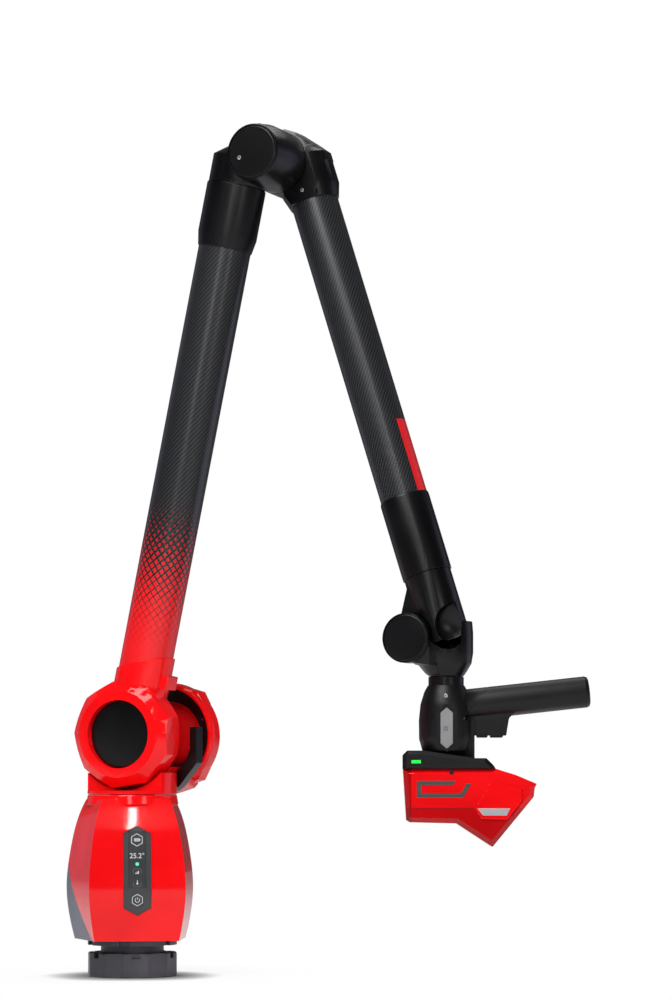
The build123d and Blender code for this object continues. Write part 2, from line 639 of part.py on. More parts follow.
def fork_parts():
    """Fork: two discs on the hinge that flow into an open bowl over the hand-piece's neck."""
    half_tang = tang_depth / 2 + swing_gap
    half = fork_depth / 2
    low = -neck_drop
    room = wrist_radius + swing_gap + 0.6
    discs = turned_y([(0, -half), (fork_radius - 1, -half), (fork_radius, -half + 1),
                      (fork_radius, half - 1), (fork_radius - 1, half), (0, half)])
    bowl = Pos(neck_offset, 0, 0) * turned(
        [(0, low), (neck_ring_radius, low), (24, low + 6), (28.6, low + 14),
         (room + bowl_wall, low + 26), (room + bowl_wall, 6), (room + 1.2, 19), (0, 19)])
    cheek = plate_y([(-8, -26.5), (6, -34), (neck_offset - neck_ring_radius + 2, low + 1),
                     (neck_offset, low + 1), (neck_offset, -4), (16, 12), (2, 27.5)],
                    -half + 6, half - 6)
    trim = Pos(neck_offset, 0, 0) * turned(
        [(0, low), (21, low), (31, low + 12), (42, low + 15), (80, low + 20), (80, 60), (0, 60)])
    fork = discs + bowl + (cheek & trim)
    # Hollow: a slot as wide as the wrist's tube, rounded on the right, over a flat floor
    floor = -17.0
    hollow = block(-70, neck_offset, -room, room, floor, 80) + post(room, floor, 80, x=neck_offset)
    hollow -= axle(fork_radius + 0.9, -60, 60)
    fork -= hollow
    fork -= axle(fork_radius + 0.9, -half_tang, half_tang)
    fork -= block(-70, 30, -half_tang, half_tang, -5, 80)
    rim = [(16, 12), (30, -6), (43, -13), (54, -13), (60, -6), (60.5, 40), (16, 40)]
    fork -= plate_y(rim, -60, 0) - axle(fork_radius - 0.5, -60, 60)
    for side in (-1, 1):
        fork -= axle(wrist_cap_radius + seat_gap, *sorted((side * (half - 2), side * (half + 1))))
    fork -= axle(wrist_pin_radius, -half, half)
    keep("wrist_fork", wrist_frame, fork)
    cap = turned_y([(0, -half), (wrist_cap_radius - 1, -half), (wrist_cap_radius, -half + 0.8),
                    (wrist_cap_radius, -half + 2), (0, -half + 2)])
    keep("wrist_caps", wrist_frame, cap, Rot(0, 0, 180) * cap)
    keep("wrist_pin", wrist_frame, axle(wrist_pin_radius, -half + 2, half - 2))


def handle_outline():
    return [(0, -11), (20.8, -11), (24.6, -18), (28.9, -32), (30.7, -50), (30.4, -71),
            (26.8, -84), (18.2, -92.5), (0, -handle_drop)]


def hand_parts():
    neck = turned([(0, -neck_ring_height), (neck_ring_radius, -neck_ring_height),
                   (neck_ring_radius, -1.5), (neck_ring_radius - 1, -0.6), (0, -0.6)])
    neck -= post(9 + run_gap, -8, 1)
    neck -= axle(1.2, -neck_ring_radius - 1, -neck_ring_radius + 3, z=-neck_ring_height / 2)
    keep("neck_ring", head_frame, neck)
    body = turned(handle_outline())
    grip_bar = grip_frame * Rot(0, 90, 0) * post(grip_radius, 0, 70)
    body = body + grip_bar + block(4, 31.6, -14, 14, -handle_drop, -45)
    crease = plate_y([(50.7, -6), (18.5, -49.7), (31.8, -49.7), (31.8, -200), (200, -200),
                      (200, 40), (50.7, 40)], -60, 60)
    body -= crease
    body -= block(-60, 60, -60, 60, -neck_ring_height, 30)
    key_y = -30.7
    recess = hexagon_long(menu_key_width + 8, menu_key_height + 7, 9, key_y - 6, key_y + 4,
                          -menu_key_middle)
    floor = hexagon_long(menu_key_width + 7.6, menu_key_height + 6.6, 9, key_y + 1.2, key_y + 5,
                         -menu_key_middle)
    floor -= hexagon_long(menu_key_width + 0.6, menu_key_height + 0.6, 6, key_y - 6, key_y + 3.3,
                          -menu_key_middle)
    body = body - recess + floor
    keep("handle_body", head_frame, body)
    keep("menu_button", head_frame, hexagon_long(menu_key_width, menu_key_height, 6, key_y + 0.2,
                                                 key_y + 2.6, -menu_key_middle))
    grip_length = (grip_end - 2) / math.cos(math.radians(grip_rise))
    grip = grip_frame * Rot(0, 90, 0) * turned(
        [(0, 20), (grip_radius, 20), (grip_radius, grip_length - 4),
         (grip_radius - 1.2, grip_length - 1.2), (grip_radius - 4, grip_length), (0, grip_length)])
    saddle = plate_y([(30, -44), (78, -40), (71, -47), (70.1, -49), (67.2, -trigger_low),
                      (31.9, -trigger_low), (31.9, -49.9), (19.2, -49.9), (30, -36)],
                     -trigger_half_width, trigger_half_width)
    keep_zone = plate_y([(50.7 + 0.3, -6), (18.5 + 0.3, -49.7 - 0.3), (31.9, -49.9), (31.9, -200),
                         (200, -200), (200, 40), (50.7 + 0.3, 40)], -60, 60)
    grip = ((grip + saddle) & keep_zone) - body
    for x0, x1 in ((34.2, 46.4), (49.3, 63.6)):
        grip -= block(x0 - 0.3, x1 + 0.3, -7.3, 7.3, -trigger_low - 1, -trigger_low + 5)
    keep("grip_shell", head_frame, grip)
    for name, x0, x1 in (("trigger_button_rear", 34.2, 46.4), ("trigger_button_front", 49.3, 63.6)):
        button = block(x0, x1, -7, 7, -trigger_low - 2.4, -trigger_low + 3)
        button = chamfer(button.edges().filter_by(Axis.Y).group_by(Axis.Z)[0], 1)
        keep(name, head_frame, button)
    return body


scanner_outline = [(-48.9, -104.4), (-45.2, -162.0), (-41.0, -164.4), (11.0, -165.6), (51.2, -191.9),
                   (97.1, -136.0), (98.3, -126.0), (100.6, -121.4), (77.6, -111.6), (54.6, -104.4)]


def scanner_parts(handle):
    half = scanner_half_width
    shell = plate_y(scanner_outline, -half, half)
    sides = shell.faces().filter_by(Axis.Y)
    shell = chamfer(sides.edges(), 5)
    cavity = plate_y([(-38, -109), (-36, -158), (12, -160), (50, -184), (93, -132), (80, -118),
                      (52, -109)], -half + 6, half - 6)
    shell -= cavity
    # Optical windows sit in the slanted front, square to the line from tip to brow
    tip, brow = Vector(51.2, 0, -191.9), Vector(97.1, 0, -136.0)
    along = (brow - tip).normalized()
    face_frame = Plane(origin=(tip + brow) * 0.5, x_dir=along, z_dir=Vector(0, 1, 0).cross(along))
    optics = face_frame.location
    window_cut = Box(58, 46, 6)
    shell -= optics * window_cut
    shell -= optics * Pos(0, 0, -15) * Box(52, 40, 30)
    keep("scanner_housing", head_frame, shell)
    frame_plate = Box(57.6, 45.6, 2.8) - Pos(-14, 0, 0) * Cylinder(12, 4) - Pos(16, 0, 0) * Box(10, 34, 4)
    frame_plate = Pos(0, 0, -1.5) * frame_plate
    keep("optics_plate", head_frame, optics * frame_plate)
    keep("optics_windows", head_frame, optics * Pos(-14, 0, -1.5) * Cylinder(11.8, 1.6),
         optics * Pos(16, 0, -1.5) * Box(9.6, 33.6, 1.6))
    barrel_shape = Pos(-14, 0, -3) * Cylinder(10, 18, align=(Align.CENTER, Align.CENTER, Align.MAX))
    keep("camera_lens", head_frame, optics * barrel_shape)
    keep("laser_module", head_frame, optics * Pos(16, 0, -3) * Cylinder(
        7, 24, align=(Align.CENTER, Align.CENTER, Align.MAX)))
    cover = plate_y([(-48.9, -cover_low), (-48.9, -89), (-44, -84.2), (-26, -84.2), (32, -92.7),
                     (44.3, -92.7), (52.3, -100.7), (54.6, -cover_low)],
                    -cover_half_width, cover_half_width)
    cover = chamfer(cover.faces().filter_by(Axis.Y).edges().filter_by(
        lambda e: e.center().Z > -cover_low + 1), 4)
    cover -= handle
    lamp_zone = block(-39.5, -28.7, -cover_half_width - 1, -cover_half_width + 2, -98.8, -94.8)
    cover -= lamp_zone
    keep("scanner_cover", head_frame, cover)
    keep("status_light", head_frame, block(-39.3, -28.9, -cover_half_width - 0.3,
                                           -cover_half_width + 2, -98.6, -95.0))
    panel_outline = [(48.9, -119.6), (30.6, -148.4), (38.6, -160.6), (67.3, -161.5), (84.0, -140.0),
                     (84.0, -126.0)]
    panels = [plate_y(panel_outline, half, half + 2.2), plate_y(panel_outline, -half - 2.2, -half)]
    keep("side_panels", head_frame, *panels)


shoulder_parts(base_parts())
upper_arm_parts()
elbow_parts()
forearm_parts()
wrist_parts()
fork_parts()
handle = hand_parts()
scanner_parts(handle)

os.makedirs("parts", exist_ok=True)
for name, solids in nodes.items():
    shape = solids[0] if len(solids) == 1 else Compound(children=solids)
    export_step(shape, f"parts/{name}.step")
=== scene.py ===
import json
import math

import bmesh
import bpy
from mathutils import Matrix, Vector
from mathutils.bvhtree import BVHTree

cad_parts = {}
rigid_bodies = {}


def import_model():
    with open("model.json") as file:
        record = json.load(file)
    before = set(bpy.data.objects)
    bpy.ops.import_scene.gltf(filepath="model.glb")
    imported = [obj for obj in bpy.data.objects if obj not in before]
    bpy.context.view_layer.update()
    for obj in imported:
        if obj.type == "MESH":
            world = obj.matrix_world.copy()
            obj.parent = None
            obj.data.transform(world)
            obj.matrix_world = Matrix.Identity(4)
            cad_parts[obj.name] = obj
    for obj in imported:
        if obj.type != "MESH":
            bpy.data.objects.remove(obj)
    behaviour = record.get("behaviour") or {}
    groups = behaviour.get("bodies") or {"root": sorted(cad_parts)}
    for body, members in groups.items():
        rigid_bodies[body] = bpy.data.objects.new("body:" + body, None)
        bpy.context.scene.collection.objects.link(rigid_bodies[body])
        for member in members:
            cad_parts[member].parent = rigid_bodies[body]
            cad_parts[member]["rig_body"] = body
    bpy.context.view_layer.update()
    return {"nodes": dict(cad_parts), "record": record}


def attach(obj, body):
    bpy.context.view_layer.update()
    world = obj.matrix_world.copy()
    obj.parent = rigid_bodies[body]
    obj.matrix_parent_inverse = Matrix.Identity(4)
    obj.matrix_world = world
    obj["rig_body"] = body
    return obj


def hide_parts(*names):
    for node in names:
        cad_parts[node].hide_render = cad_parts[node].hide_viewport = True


# Portable measuring arm, dressed over its CAD frame.  Metres, +Z up, control panel faces -Y.

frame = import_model()
nodes = frame["nodes"]
scene = bpy.context.scene
MM = 0.001

# The arm's joint frames at rest, as the CAD source sets them out
SWIVEL_TURN = -33.2
SHOULDER_HEIGHT = 278.8 * MM
UPPER_LEAN = 12.2
ELBOW_REACH = 675.0 * MM
ELBOW_OFFSET = 28.0 * MM
PLANE_SHIFT = 61.0 * MM
FOREARM_LEAN = 18.0
FOREARM_OFFSET = 19.0 * MM
WRIST_REACH = 571.0 * MM
WRIST_OFFSET = 34.0 * MM
NECK_OFFSET = 35.0 * MM
NECK_DROP = 42.0 * MM
HEAD_TURN = 23.7


def turn(axis, degrees):
    return Matrix.Rotation(math.radians(degrees), 4, axis)


def shift(x=0.0, y=0.0, z=0.0):
    return Matrix.Translation((x, y, z))


YOKE = turn("Z", SWIVEL_TURN)
SHOULDER = YOKE @ shift(z=SHOULDER_HEIGHT)
UPPER = SHOULDER @ turn("Y", UPPER_LEAN)
ELBOW = UPPER @ shift(ELBOW_OFFSET, 0, ELBOW_REACH)
FOREARM = ELBOW @ turn("Y", -UPPER_LEAN - FOREARM_LEAN)
FOREARM_AXIS = FOREARM @ shift(FOREARM_OFFSET, PLANE_SHIFT, 0)
WRIST = FOREARM @ shift(FOREARM_OFFSET - WRIST_OFFSET, PLANE_SHIFT, -WRIST_REACH) @ turn("Y", FOREARM_LEAN)
HEAD = WRIST @ shift(NECK_OFFSET, 0, -NECK_DROP) @ turn("Z", HEAD_TURN)
WORLD = Matrix.Identity(4)

NOISE_ROUGHNESS = 0.55
RINGS_PER_METRE = 2400.0   # lathe rings of the turned metals


class Graph:
    """Small node graph of a material or of the world."""

    def __init__(self, name, world=None):
        self.owner = world or bpy.data.materials.new(name)
        self.owner.use_nodes = True
        self.tree = self.owner.node_tree
        self.tree.nodes.clear()
        kind = "World" if world else "Material"
        self.output = self.tree.nodes.new("ShaderNodeOutput" + kind)

    def add(self, kind, **settings):
        made = self.tree.nodes.new(kind)
        for key, value in settings.items():
            setattr(made, key, value)
        return made

    def link(self, source, target):
        self.tree.links.new(source, target)

    def feed(self, socket, value):
        if isinstance(value, bpy.types.NodeSocket):
            self.link(value, socket)
        else:
            socket.default_value = value

    def math(self, operation, a, b=0.0, c=0.0, clamp=False):
        made = self.add("ShaderNodeMath", operation=operation, use_clamp=clamp)
        for socket, value in zip(made.inputs, (a, b, c)):
            self.feed(socket, value)
        return made.outputs[0]

    def mix(self, share, a, b):
        made = self.add("ShaderNodeMix", data_type="RGBA")
        self.feed(made.inputs["Factor"], share)
        self.feed(made.inputs[6], a)
        self.feed(made.inputs[7], b)
        return made.outputs[2]

    def smooth(self, value, low, high, to_low=0.0, to_high=1.0):
        made = self.add("ShaderNodeMapRange", interpolation_type="SMOOTHSTEP")
        for key, number in (("Value", value), ("From Min", low), ("From Max", high),
                            ("To Min", to_low), ("To Max", to_high)):
            self.feed(made.inputs[key], number)
        return made.outputs["Result"]

    def place(self, matrix=None):
        """Coordinates in metres, seen from a joint frame."""
        coords = self.add("ShaderNodeTexCoord").outputs["Object"]
        if matrix is None:
            return coords
        inverse = matrix.inverted()
        spin = self.add("ShaderNodeMapping", vector_type="POINT")
        spin.inputs["Location"].default_value = inverse.to_translation()
        spin.inputs["Rotation"].default_value = inverse.to_euler("XYZ")
        self.link(coords, spin.inputs["Vector"])
        return spin.outputs["Vector"]

    def split(self, coords):
        made = self.add("ShaderNodeSeparateXYZ")
        self.link(coords, made.inputs[0])
        return made.outputs["X"], made.outputs["Y"], made.outputs["Z"]

    def blend(self, share, first, second):
        """Mix of two shaders, given by their nodes."""
        made = self.add("ShaderNodeMixShader")
        self.feed(made.inputs[0], share)
        self.link(first.outputs[0], made.inputs[1])
        self.link(second.outputs[0], made.inputs[2])
        return made

    def noise(self, coords, scale, detail=3.0):
        made = self.add("ShaderNodeTexNoise")
        self.link(coords, made.inputs["Vector"])
        made.inputs["Scale"].default_value = scale
        made.inputs["Detail"].default_value = detail
        made.inputs["Roughness"].default_value = NOISE_ROUGHNESS
        return made.outputs["Fac"]

    def bump(self, height, distance, strength):
        made = self.add("ShaderNodeBump")
        made.inputs["Strength"].default_value = strength
        made.inputs["Distance"].default_value = distance
        self.link(height, made.inputs["Height"])
        return made.outputs["Normal"]

    def surface(self, color, roughness, normal=None, **constants):
        shader = self.add("ShaderNodeBsdfPrincipled")
        self.feed(shader.inputs["Base Color"], color)
        self.feed(shader.inputs["Roughness"], roughness)
        for key, value in constants.items():
            shader.inputs[key.replace("_", " ")].default_value = value
        if normal is not None:
            self.link(normal, shader.inputs["Normal"])
        return self.finish(shader)

    def finish(self, shader):
        self.link(shader.outputs[0], self.output.inputs["Surface"])
        return self.owner


def rgba(r, g, b):
    return (r, g, b, 1.0)


def lacquer(name, deep, bright, roughness=0.16, coat=0.5, shine=0.08, shade=None):
    """Clear-coated paint: slight drift of colour, faint orange peel and fine dust."""
    g = Graph(name)
    at = g.place()
    drift = g.noise(at, 9.0, 2.0)
    grain = g.noise(at, 900.0, 2.0)
    color = g.mix(g.smooth(drift, 0.35, 0.65), rgba(*deep), rgba(*bright))
    # When given, the shade function paints painted shade and painted light into the colour.
    if shade is not None:
        color = shade(g, color)
    rough = g.math("MULTIPLY_ADD", grain, 0.06, roughness - 0.03)
    peel = g.noise(at, 260.0, 1.0)
    return g.surface(color, rough, g.bump(peel, 0.00004, 0.25), Coat_Weight=coat, Coat_Roughness=0.03,
                     Specular_IOR_Level=shine)


# Scanner housing: its long crease and the one near its left end, in the hand-piece's frame
CREASE_LEFT = -39.4 * MM
CREASE_HEIGHT = -148.5 * MM


def scanner_painted_shade(g, color):
    """The scanner's housing is darker at its left end, painted shade makes it darker below its long crease,
    and painted light makes it lighter towards the top and darker towards the bottom.
    """
    x, _, z = g.split(g.place(HEAD))
    left = g.smooth(x, CREASE_LEFT - 0.4 * MM, CREASE_LEFT, 0.42, 1.0)
    # Painted shade: darker below the long crease, as on a face turned from the light.
    low = g.smooth(z, CREASE_HEIGHT - 0.3 * MM, CREASE_HEIGHT + 0.2 * MM, 0.62, 1.0)
    # Painted light and shade: lighter towards the top, darker towards the bottom.
    rise = g.smooth(z, -192 * MM, -112 * MM, 0.72, 1.0)
    keep = g.math("MULTIPLY", g.math("MULTIPLY", left, low), rise)
    return g.mix(keep, rgba(0.10, 0.0, 0.001), color)


def coated(name, deep, bright, roughness, grain_scale=700.0, grain_depth=0.00006, metallic=0.0,
           coat=0.0, shine=0.45):
    """Powder-coated or moulded surface: fine grain, patches of wear in the sheen."""
    g = Graph(name)
    at = g.place()
    grain = g.noise(at, grain_scale, 3.0)
    patch = g.noise(at, 14.0, 3.0)
    color = g.mix(g.smooth(patch, 0.3, 0.7), rgba(*deep), rgba(*bright))
    rough = g.math("MULTIPLY_ADD", patch, 0.16, roughness - 0.08)
    return g.surface(color, rough, g.bump(grain, grain_depth, 0.6), Metallic=metallic, Coat_Weight=coat,
                     Coat_Roughness=0.12, Specular_IOR_Level=shine)


def turned_metal(name, tint, roughness):
    """Lathe-turned or ground metal with fine rings across its axis."""
    g = Graph(name)
    at = g.place()
    z = g.split(at)[2]
    streak = g.add("ShaderNodeTexNoise", noise_dimensions="1D")
    g.link(g.math("MULTIPLY", z, RINGS_PER_METRE), streak.inputs["W"])
    streak.inputs["Scale"].default_value = 1.0
    patch = g.noise(at, 22.0, 3.0)
    dark = tuple(0.8 * c for c in tint)
    color = g.mix(patch, rgba(*dark), rgba(*tint))
    rough = g.math("MULTIPLY_ADD", streak.outputs["Fac"], 0.14, roughness - 0.07)
    return g.surface(color, rough, g.bump(streak.outputs["Fac"], 0.00003, 0.5), Metallic=1.0)


# Carbon tubes: radii, and the weave's tows
UPPER_RADIUS = 30 * MM
FOREARM_RADIUS = 27 * MM
TOWS_ROUND = 168
TOW_STRETCH = 1.4
WEAVE_OFFSET = 8000.0      # keeps the running count of tows positive


def carbon(name, matrix, radius, print_on):
    """Clear-coated 2x2 twill wrapped round a tube, with the red that is printed on it."""
    g = Graph(name)
    at = g.place(matrix)
    x, y, along = g.split(at)
    angle = g.math("ARCTAN2", y, x)
    around = g.math("MULTIPLY", angle, radius)
    tow = 2 * math.pi * radius / TOWS_ROUND
    columns = g.math("MULTIPLY", around, 1 / tow)
    rows = g.math("MULTIPLY", along, 1 / (tow * TOW_STRETCH))
    diagonal = g.math("SUBTRACT", g.math("FLOOR", columns), g.math("FLOOR", rows))
    step = g.math("MODULO", g.math("ADD", diagonal, WEAVE_OFFSET), 4.0)
    over = g.math("LESS_THAN", step, 1.5)
    under = g.math("SUBTRACT", 1.0, over)
    crown_u, crown_v = g.math("PINGPONG", columns, 0.5), g.math("PINGPONG", rows, 0.5)
    crown = g.math("ADD", g.math("MULTIPLY", crown_u, over), g.math("MULTIPLY", crown_v, under))
    fibre = g.noise(at, 1500.0, 2.0)
    warp = g.mix(fibre, rgba(0.020, 0.021, 0.023), rgba(0.044, 0.046, 0.050))
    weft = g.mix(fibre, rgba(0.003, 0.003, 0.0035), rgba(0.006, 0.006, 0.007))
    color = g.mix(over, weft, warp)
    color = g.mix(g.smooth(crown, 0.0, 0.16), rgba(0.002, 0.002, 0.0025), color)
    rough = g.math("MULTIPLY_ADD", over, -0.10, 0.42)
    ink, red = print_on(g, around, along)
    return g.surface(g.mix(ink, color, red), rough, g.bump(crown, 0.0001, 0.3), Coat_Weight=0.35,
                     Coat_Roughness=0.24, Metallic=0.0, Specular_IOR_Level=0.3)


# The lower part of the upper tube: red that breaks up into diamonds towards the middle
FADE_LOW = 98 * MM
FADE_HIGH = 290 * MM
DIAMONDS_ROUND = 22
DIAMOND_SLOPE = 1.15


def diamond_fade(g, around, along):
    """Share of red at a point of the tube, and the red itself, darker where the diamonds thin out."""
    pitch = 2 * math.pi * UPPER_RADIUS / DIAMONDS_ROUND
    u = g.math("MULTIPLY", around, 1 / pitch)
    v = g.math("MULTIPLY", along, 1 / (pitch * DIAMOND_SLOPE))
    a = g.math("PINGPONG", g.math("ADD", u, v), 0.5)
    b = g.math("PINGPONG", g.math("SUBTRACT", u, v), 0.5)
    reach = g.math("MINIMUM", a, b)
    length = FADE_HIGH - FADE_LOW
    rise = g.math("MULTIPLY_ADD", along, 1 / length, -FADE_LOW / length, clamp=True)
    line = g.math("MULTIPLY", g.math("POWER", rise, 1.5), 0.42)
    ink = g.smooth(g.math("SUBTRACT", reach, line), -0.012, 0.022)
    started = g.smooth(rise, 0.0, 0.06, 1.0, 0.0)
    ink = g.math("MAXIMUM", ink, started)
    shown = g.smooth(rise, 0.62, 1.0, 1.0, 0.0)
    drift = g.noise(g.place(), 12.0, 2.0)
    red = g.mix(drift, rgba(0.70, 0.005, 0.008), rgba(0.88, 0.008, 0.010))
    red = g.mix(g.smooth(rise, 0.25, 0.95), red, rgba(0.26, 0.006, 0.012))
    return g.math("MULTIPLY", ink, shown), red


# Red band on one side of the forearm tube: its angles round the tube and its ends along it
BAND_FROM, BAND_TO = math.radians(-29), math.radians(33)
BAND_LOW, BAND_HIGH = -417 * MM, -328 * MM
BAND_SOFT_ANGLE = 0.012
BAND_SOFT_END = 0.3 * MM


def forearm_band(g, around, along):
    """Plain red band printed on one side of the forearm tube, near its lower end."""
    angle = g.math("MULTIPLY", around, 1 / FOREARM_RADIUS)
    ink = 1.0
    for value, low, high, soft in ((angle, BAND_FROM, BAND_TO, BAND_SOFT_ANGLE),
                                   (along, BAND_LOW, BAND_HIGH, BAND_SOFT_END)):
        ink = g.math("MULTIPLY", ink, g.smooth(value, low - soft, low + soft))
        ink = g.math("MULTIPLY", ink, g.smooth(value, high - soft, high + soft, 1.0, 0.0))
    red = g.mix(g.noise(g.place(), 14.0, 2.0), rgba(0.60, 0.006, 0.010), rgba(0.76, 0.008, 0.012))
    return ink, red


def lit(name, color, strength):
    """Small lamp or printed dot that glows a little."""
    g = Graph(name)
    at = g.place()
    core = g.noise(at, 300.0, 2.0)
    shade = g.mix(core, rgba(*(0.8 * c for c in color)), rgba(*color))
    shader = g.add("ShaderNodeBsdfPrincipled")
    g.link(shade, shader.inputs["Base Color"])
    g.link(shade, shader.inputs["Emission Color"])
    shader.inputs["Emission Strength"].default_value = strength
    shader.inputs["Roughness"].default_value = 0.2
    return g.finish(shader)


def dark_window(name, deep, tint):
    """Polished dark glass of an optical window."""
    g = Graph(name)
    at = g.place()
    drift = g.noise(at, 40.0, 2.0)
    color = g.mix(drift, rgba(*deep), rgba(*tint))
    return g.surface(color, 0.05, Coat_Weight=1.0, Coat_Roughness=0.02, Specular_IOR_Level=0.8)


RED = lacquer("red_lacquer", (0.80, 0.003, 0.005), (0.94, 0.005, 0.007))
RED_SHELL = lacquer("red_moulding", (0.74, 0.003, 0.005), (0.86, 0.005, 0.007), 0.24, 0.5, 0.0)
# The scanner's red carries painted shade below its crease and painted light towards its top.
RED_SCANNER = lacquer("red_scanner", (0.74, 0.003, 0.005), (0.86, 0.005, 0.007), 0.16, 0.6, 0.05,
                      scanner_painted_shade)
BLACK = coated("black_coat", (0.0014, 0.0014, 0.0018), (0.0030, 0.0030, 0.0038), 0.31, shine=0.3)
SOFT_BLACK = coated("black_moulding", (0.002, 0.002, 0.0023), (0.0040, 0.0040, 0.0045), 0.40, 420.0,
                    0.0001, shine=0.3)
# Dark red of the pieces that fill two seams: painted shade of the gaps.
GAP_SHADE = coated("dark_gap_shade", (0.012, 0.001, 0.001), (0.022, 0.002, 0.002), 0.6, shine=0.1)
RUBBER = coated("rubber", (0.006, 0.006, 0.0065), (0.014, 0.014, 0.0145), 0.62, 500.0, 0.00015)
GREY = coated("grey_anodised", (0.050, 0.052, 0.060), (0.085, 0.088, 0.102), 0.42, 900.0, 0.00004, 0.5)
GREY_COVER = coated("grey_moulding", (0.11, 0.12, 0.16), (0.16, 0.17, 0.215), 0.45, 420.0, 0.0001)
PANEL = coated("panel", (0.034, 0.036, 0.038), (0.048, 0.050, 0.054), 0.38, 600.0, 0.00004, coat=0.2)
GLASS_PANEL = coated("display_glass", (0.036, 0.038, 0.040), (0.048, 0.050, 0.054), 0.22, 200.0, 0.00001,
                     coat=0.4)
KEY = coated("key_grey", (0.17, 0.172, 0.178), (0.24, 0.242, 0.25), 0.42, 500.0, 0.00005)
STEEL = turned_metal("ground_steel", (0.62, 0.63, 0.65), 0.26)
BARE = turned_metal("machined_metal", (0.74, 0.74, 0.76), 0.34)
BOARD = coated("circuit_board", (0.01, 0.10, 0.04), (0.02, 0.16, 0.06), 0.4)
WINDOW = dark_window("optical_window", (0.012, 0.002, 0.003), (0.035, 0.005, 0.007))
CARBON_UPPER = carbon("carbon_upper", UPPER, UPPER_RADIUS, diamond_fade)
CARBON_FORE = carbon("carbon_forearm", FOREARM_AXIS, FOREARM_RADIUS, forearm_band)
GREEN_LIGHT = lit("green_light", (0.02, 0.62, 0.06), 0.9)
RED_LIGHT = lit("red_light", (0.60, 0.05, 0.03), 0.5)
WHITE_INK = coated("white_ink", (0.62, 0.64, 0.66), (0.72, 0.73, 0.75), 0.4)
GREEN_INK = lit("green_ink", (0.10, 0.70, 0.42), 0.4)

SLOT_FINISH = {
    "gloss_red": RED, "satin_black": BLACK, "carbon_red": CARBON_UPPER, "carbon": CARBON_FORE,
    "grey_metal": GREY, "bare_metal": BARE, "steel": STEEL, "grey_cover": GREY_COVER,
    "panel_dark": PANEL, "soft_black": SOFT_BLACK, "red_plastic": RED_SHELL, "key_grey": KEY,
    "rubber": RUBBER, "dark_glass": WINDOW, "green_board": BOARD, "lamp_green": GREEN_LIGHT,
    "lamp_red": RED_LIGHT,
}


def dress_nodes():
    """Give every CAD node the finish of its material slot."""
    slot_of = {part["node"]: part["material_slot"] for part in frame["record"]["subparts"]}
    for name, made in nodes.items():
        made.data.materials.clear()
        made.data.materials.append(SLOT_FINISH[slot_of[name]])
    nodes["display_window"].data.materials[0] = GLASS_PANEL
    nodes["scanner_housing"].data.materials[0] = RED_SCANNER


# Mesh helpers
BEVEL_SEGMENTS = 3
BEVEL_ANGLE = 30           # degrees, for pieces drawn here
SHARP_ANGLE = 35           # degrees, above which an edge stays sharp in the shading
SKIN_ANGLE = 18            # degrees, above which an outer edge of a CAD solid is rounded
FLAT_ANGLE = 0.6           # degrees, below which CAD facets are joined again
WELD = 2e-6


def bevel_edges(made, width, limit):
    soft = made.modifiers.new("bevel", "BEVEL")
    soft.width = width
    soft.segments = BEVEL_SEGMENTS
    soft.limit_method = limit
    soft.angle_limit = math.radians(BEVEL_ANGLE)
    soft.harden_normals = True


def place_mesh(name, bm, matrix, body, material, bevel=0.0):
    """Turn a bmesh drawn in a joint frame into a piece that rides on a body."""
    mesh = bpy.data.meshes.new(name)
    bmesh.ops.recalc_face_normals(bm, faces=bm.faces)
    bm.to_mesh(mesh)
    bm.free()
    mesh.transform(matrix)
    mesh.materials.append(material)
    made = bpy.data.objects.new(name, mesh)
    scene.collection.objects.link(made)
    if bevel:
        bevel_edges(made, bevel, "ANGLE")
    mesh.shade_smooth()
    mesh.set_sharp_from_angle(angle=math.radians(SHARP_ANGLE))
    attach(made, body)
    return made


def slab(points, y0, y1, bm=None):
    """Prism along Y of an outline given in X and Z."""
    bm = bm or bmesh.new()
    front = [bm.verts.new((x, y0, z)) for x, z in points]
    back = [bm.verts.new((x, y1, z)) for x, z in points]
    bm.faces.new(front)
    bm.faces.new(back[::-1])
    count = len(points)
    for i in range(count):
        j = (i + 1) % count
        bm.faces.new((front[j], front[i], back[i], back[j]))
    return bm


def band(outer, inner, y0, y1, bm=None):
    """Flat ring along Y between two outlines that have the same number of points."""
    bm = bm or bmesh.new()
    rows = [[bm.verts.new((x, y, z)) for x, z in outline]
            for outline, y in ((outer, y0), (inner, y0), (inner, y1), (outer, y1))]
    count = len(outer)
    for k in range(4):
        first, second = rows[k], rows[(k + 1) % 4]
        for i in range(count):
            j = (i + 1) % count
            bm.faces.new((first[i], first[j], second[j], second[i]))
    return bm


def stroke(points, width, y0, y1, bm=None):
    """Open line of one width, as a flat bar along its points."""
    half = width / 2
    left, right = [], []
    for i, (x, z) in enumerate(points):
        before = Vector(points[max(i - 1, 0)])
        after = Vector(points[min(i + 1, len(points) - 1)])
        here = Vector((x, z))
        first = (here - before).normalized() if i > 0 else (after - here).normalized()
        second = (after - here).normalized() if i < len(points) - 1 else first
        along = (first + second).normalized()
        across = Vector((-along.y, along.x)) * (half / max(along.dot(first), 0.5))
        left.append(here + across)
        right.append(here - across)
    return slab([tuple(p) for p in left] + [tuple(p) for p in right[::-1]], y0, y1, bm)


def circle(radius, z=0.0, steps=32):
    angles = [2 * math.pi * i / steps for i in range(steps)]
    return [(radius * math.sin(a), z + radius * math.cos(a)) for a in angles]


def box(x0, x1, z0, z1):
    return [(x0, z0), (x1, z0), (x1, z1), (x0, z1)]


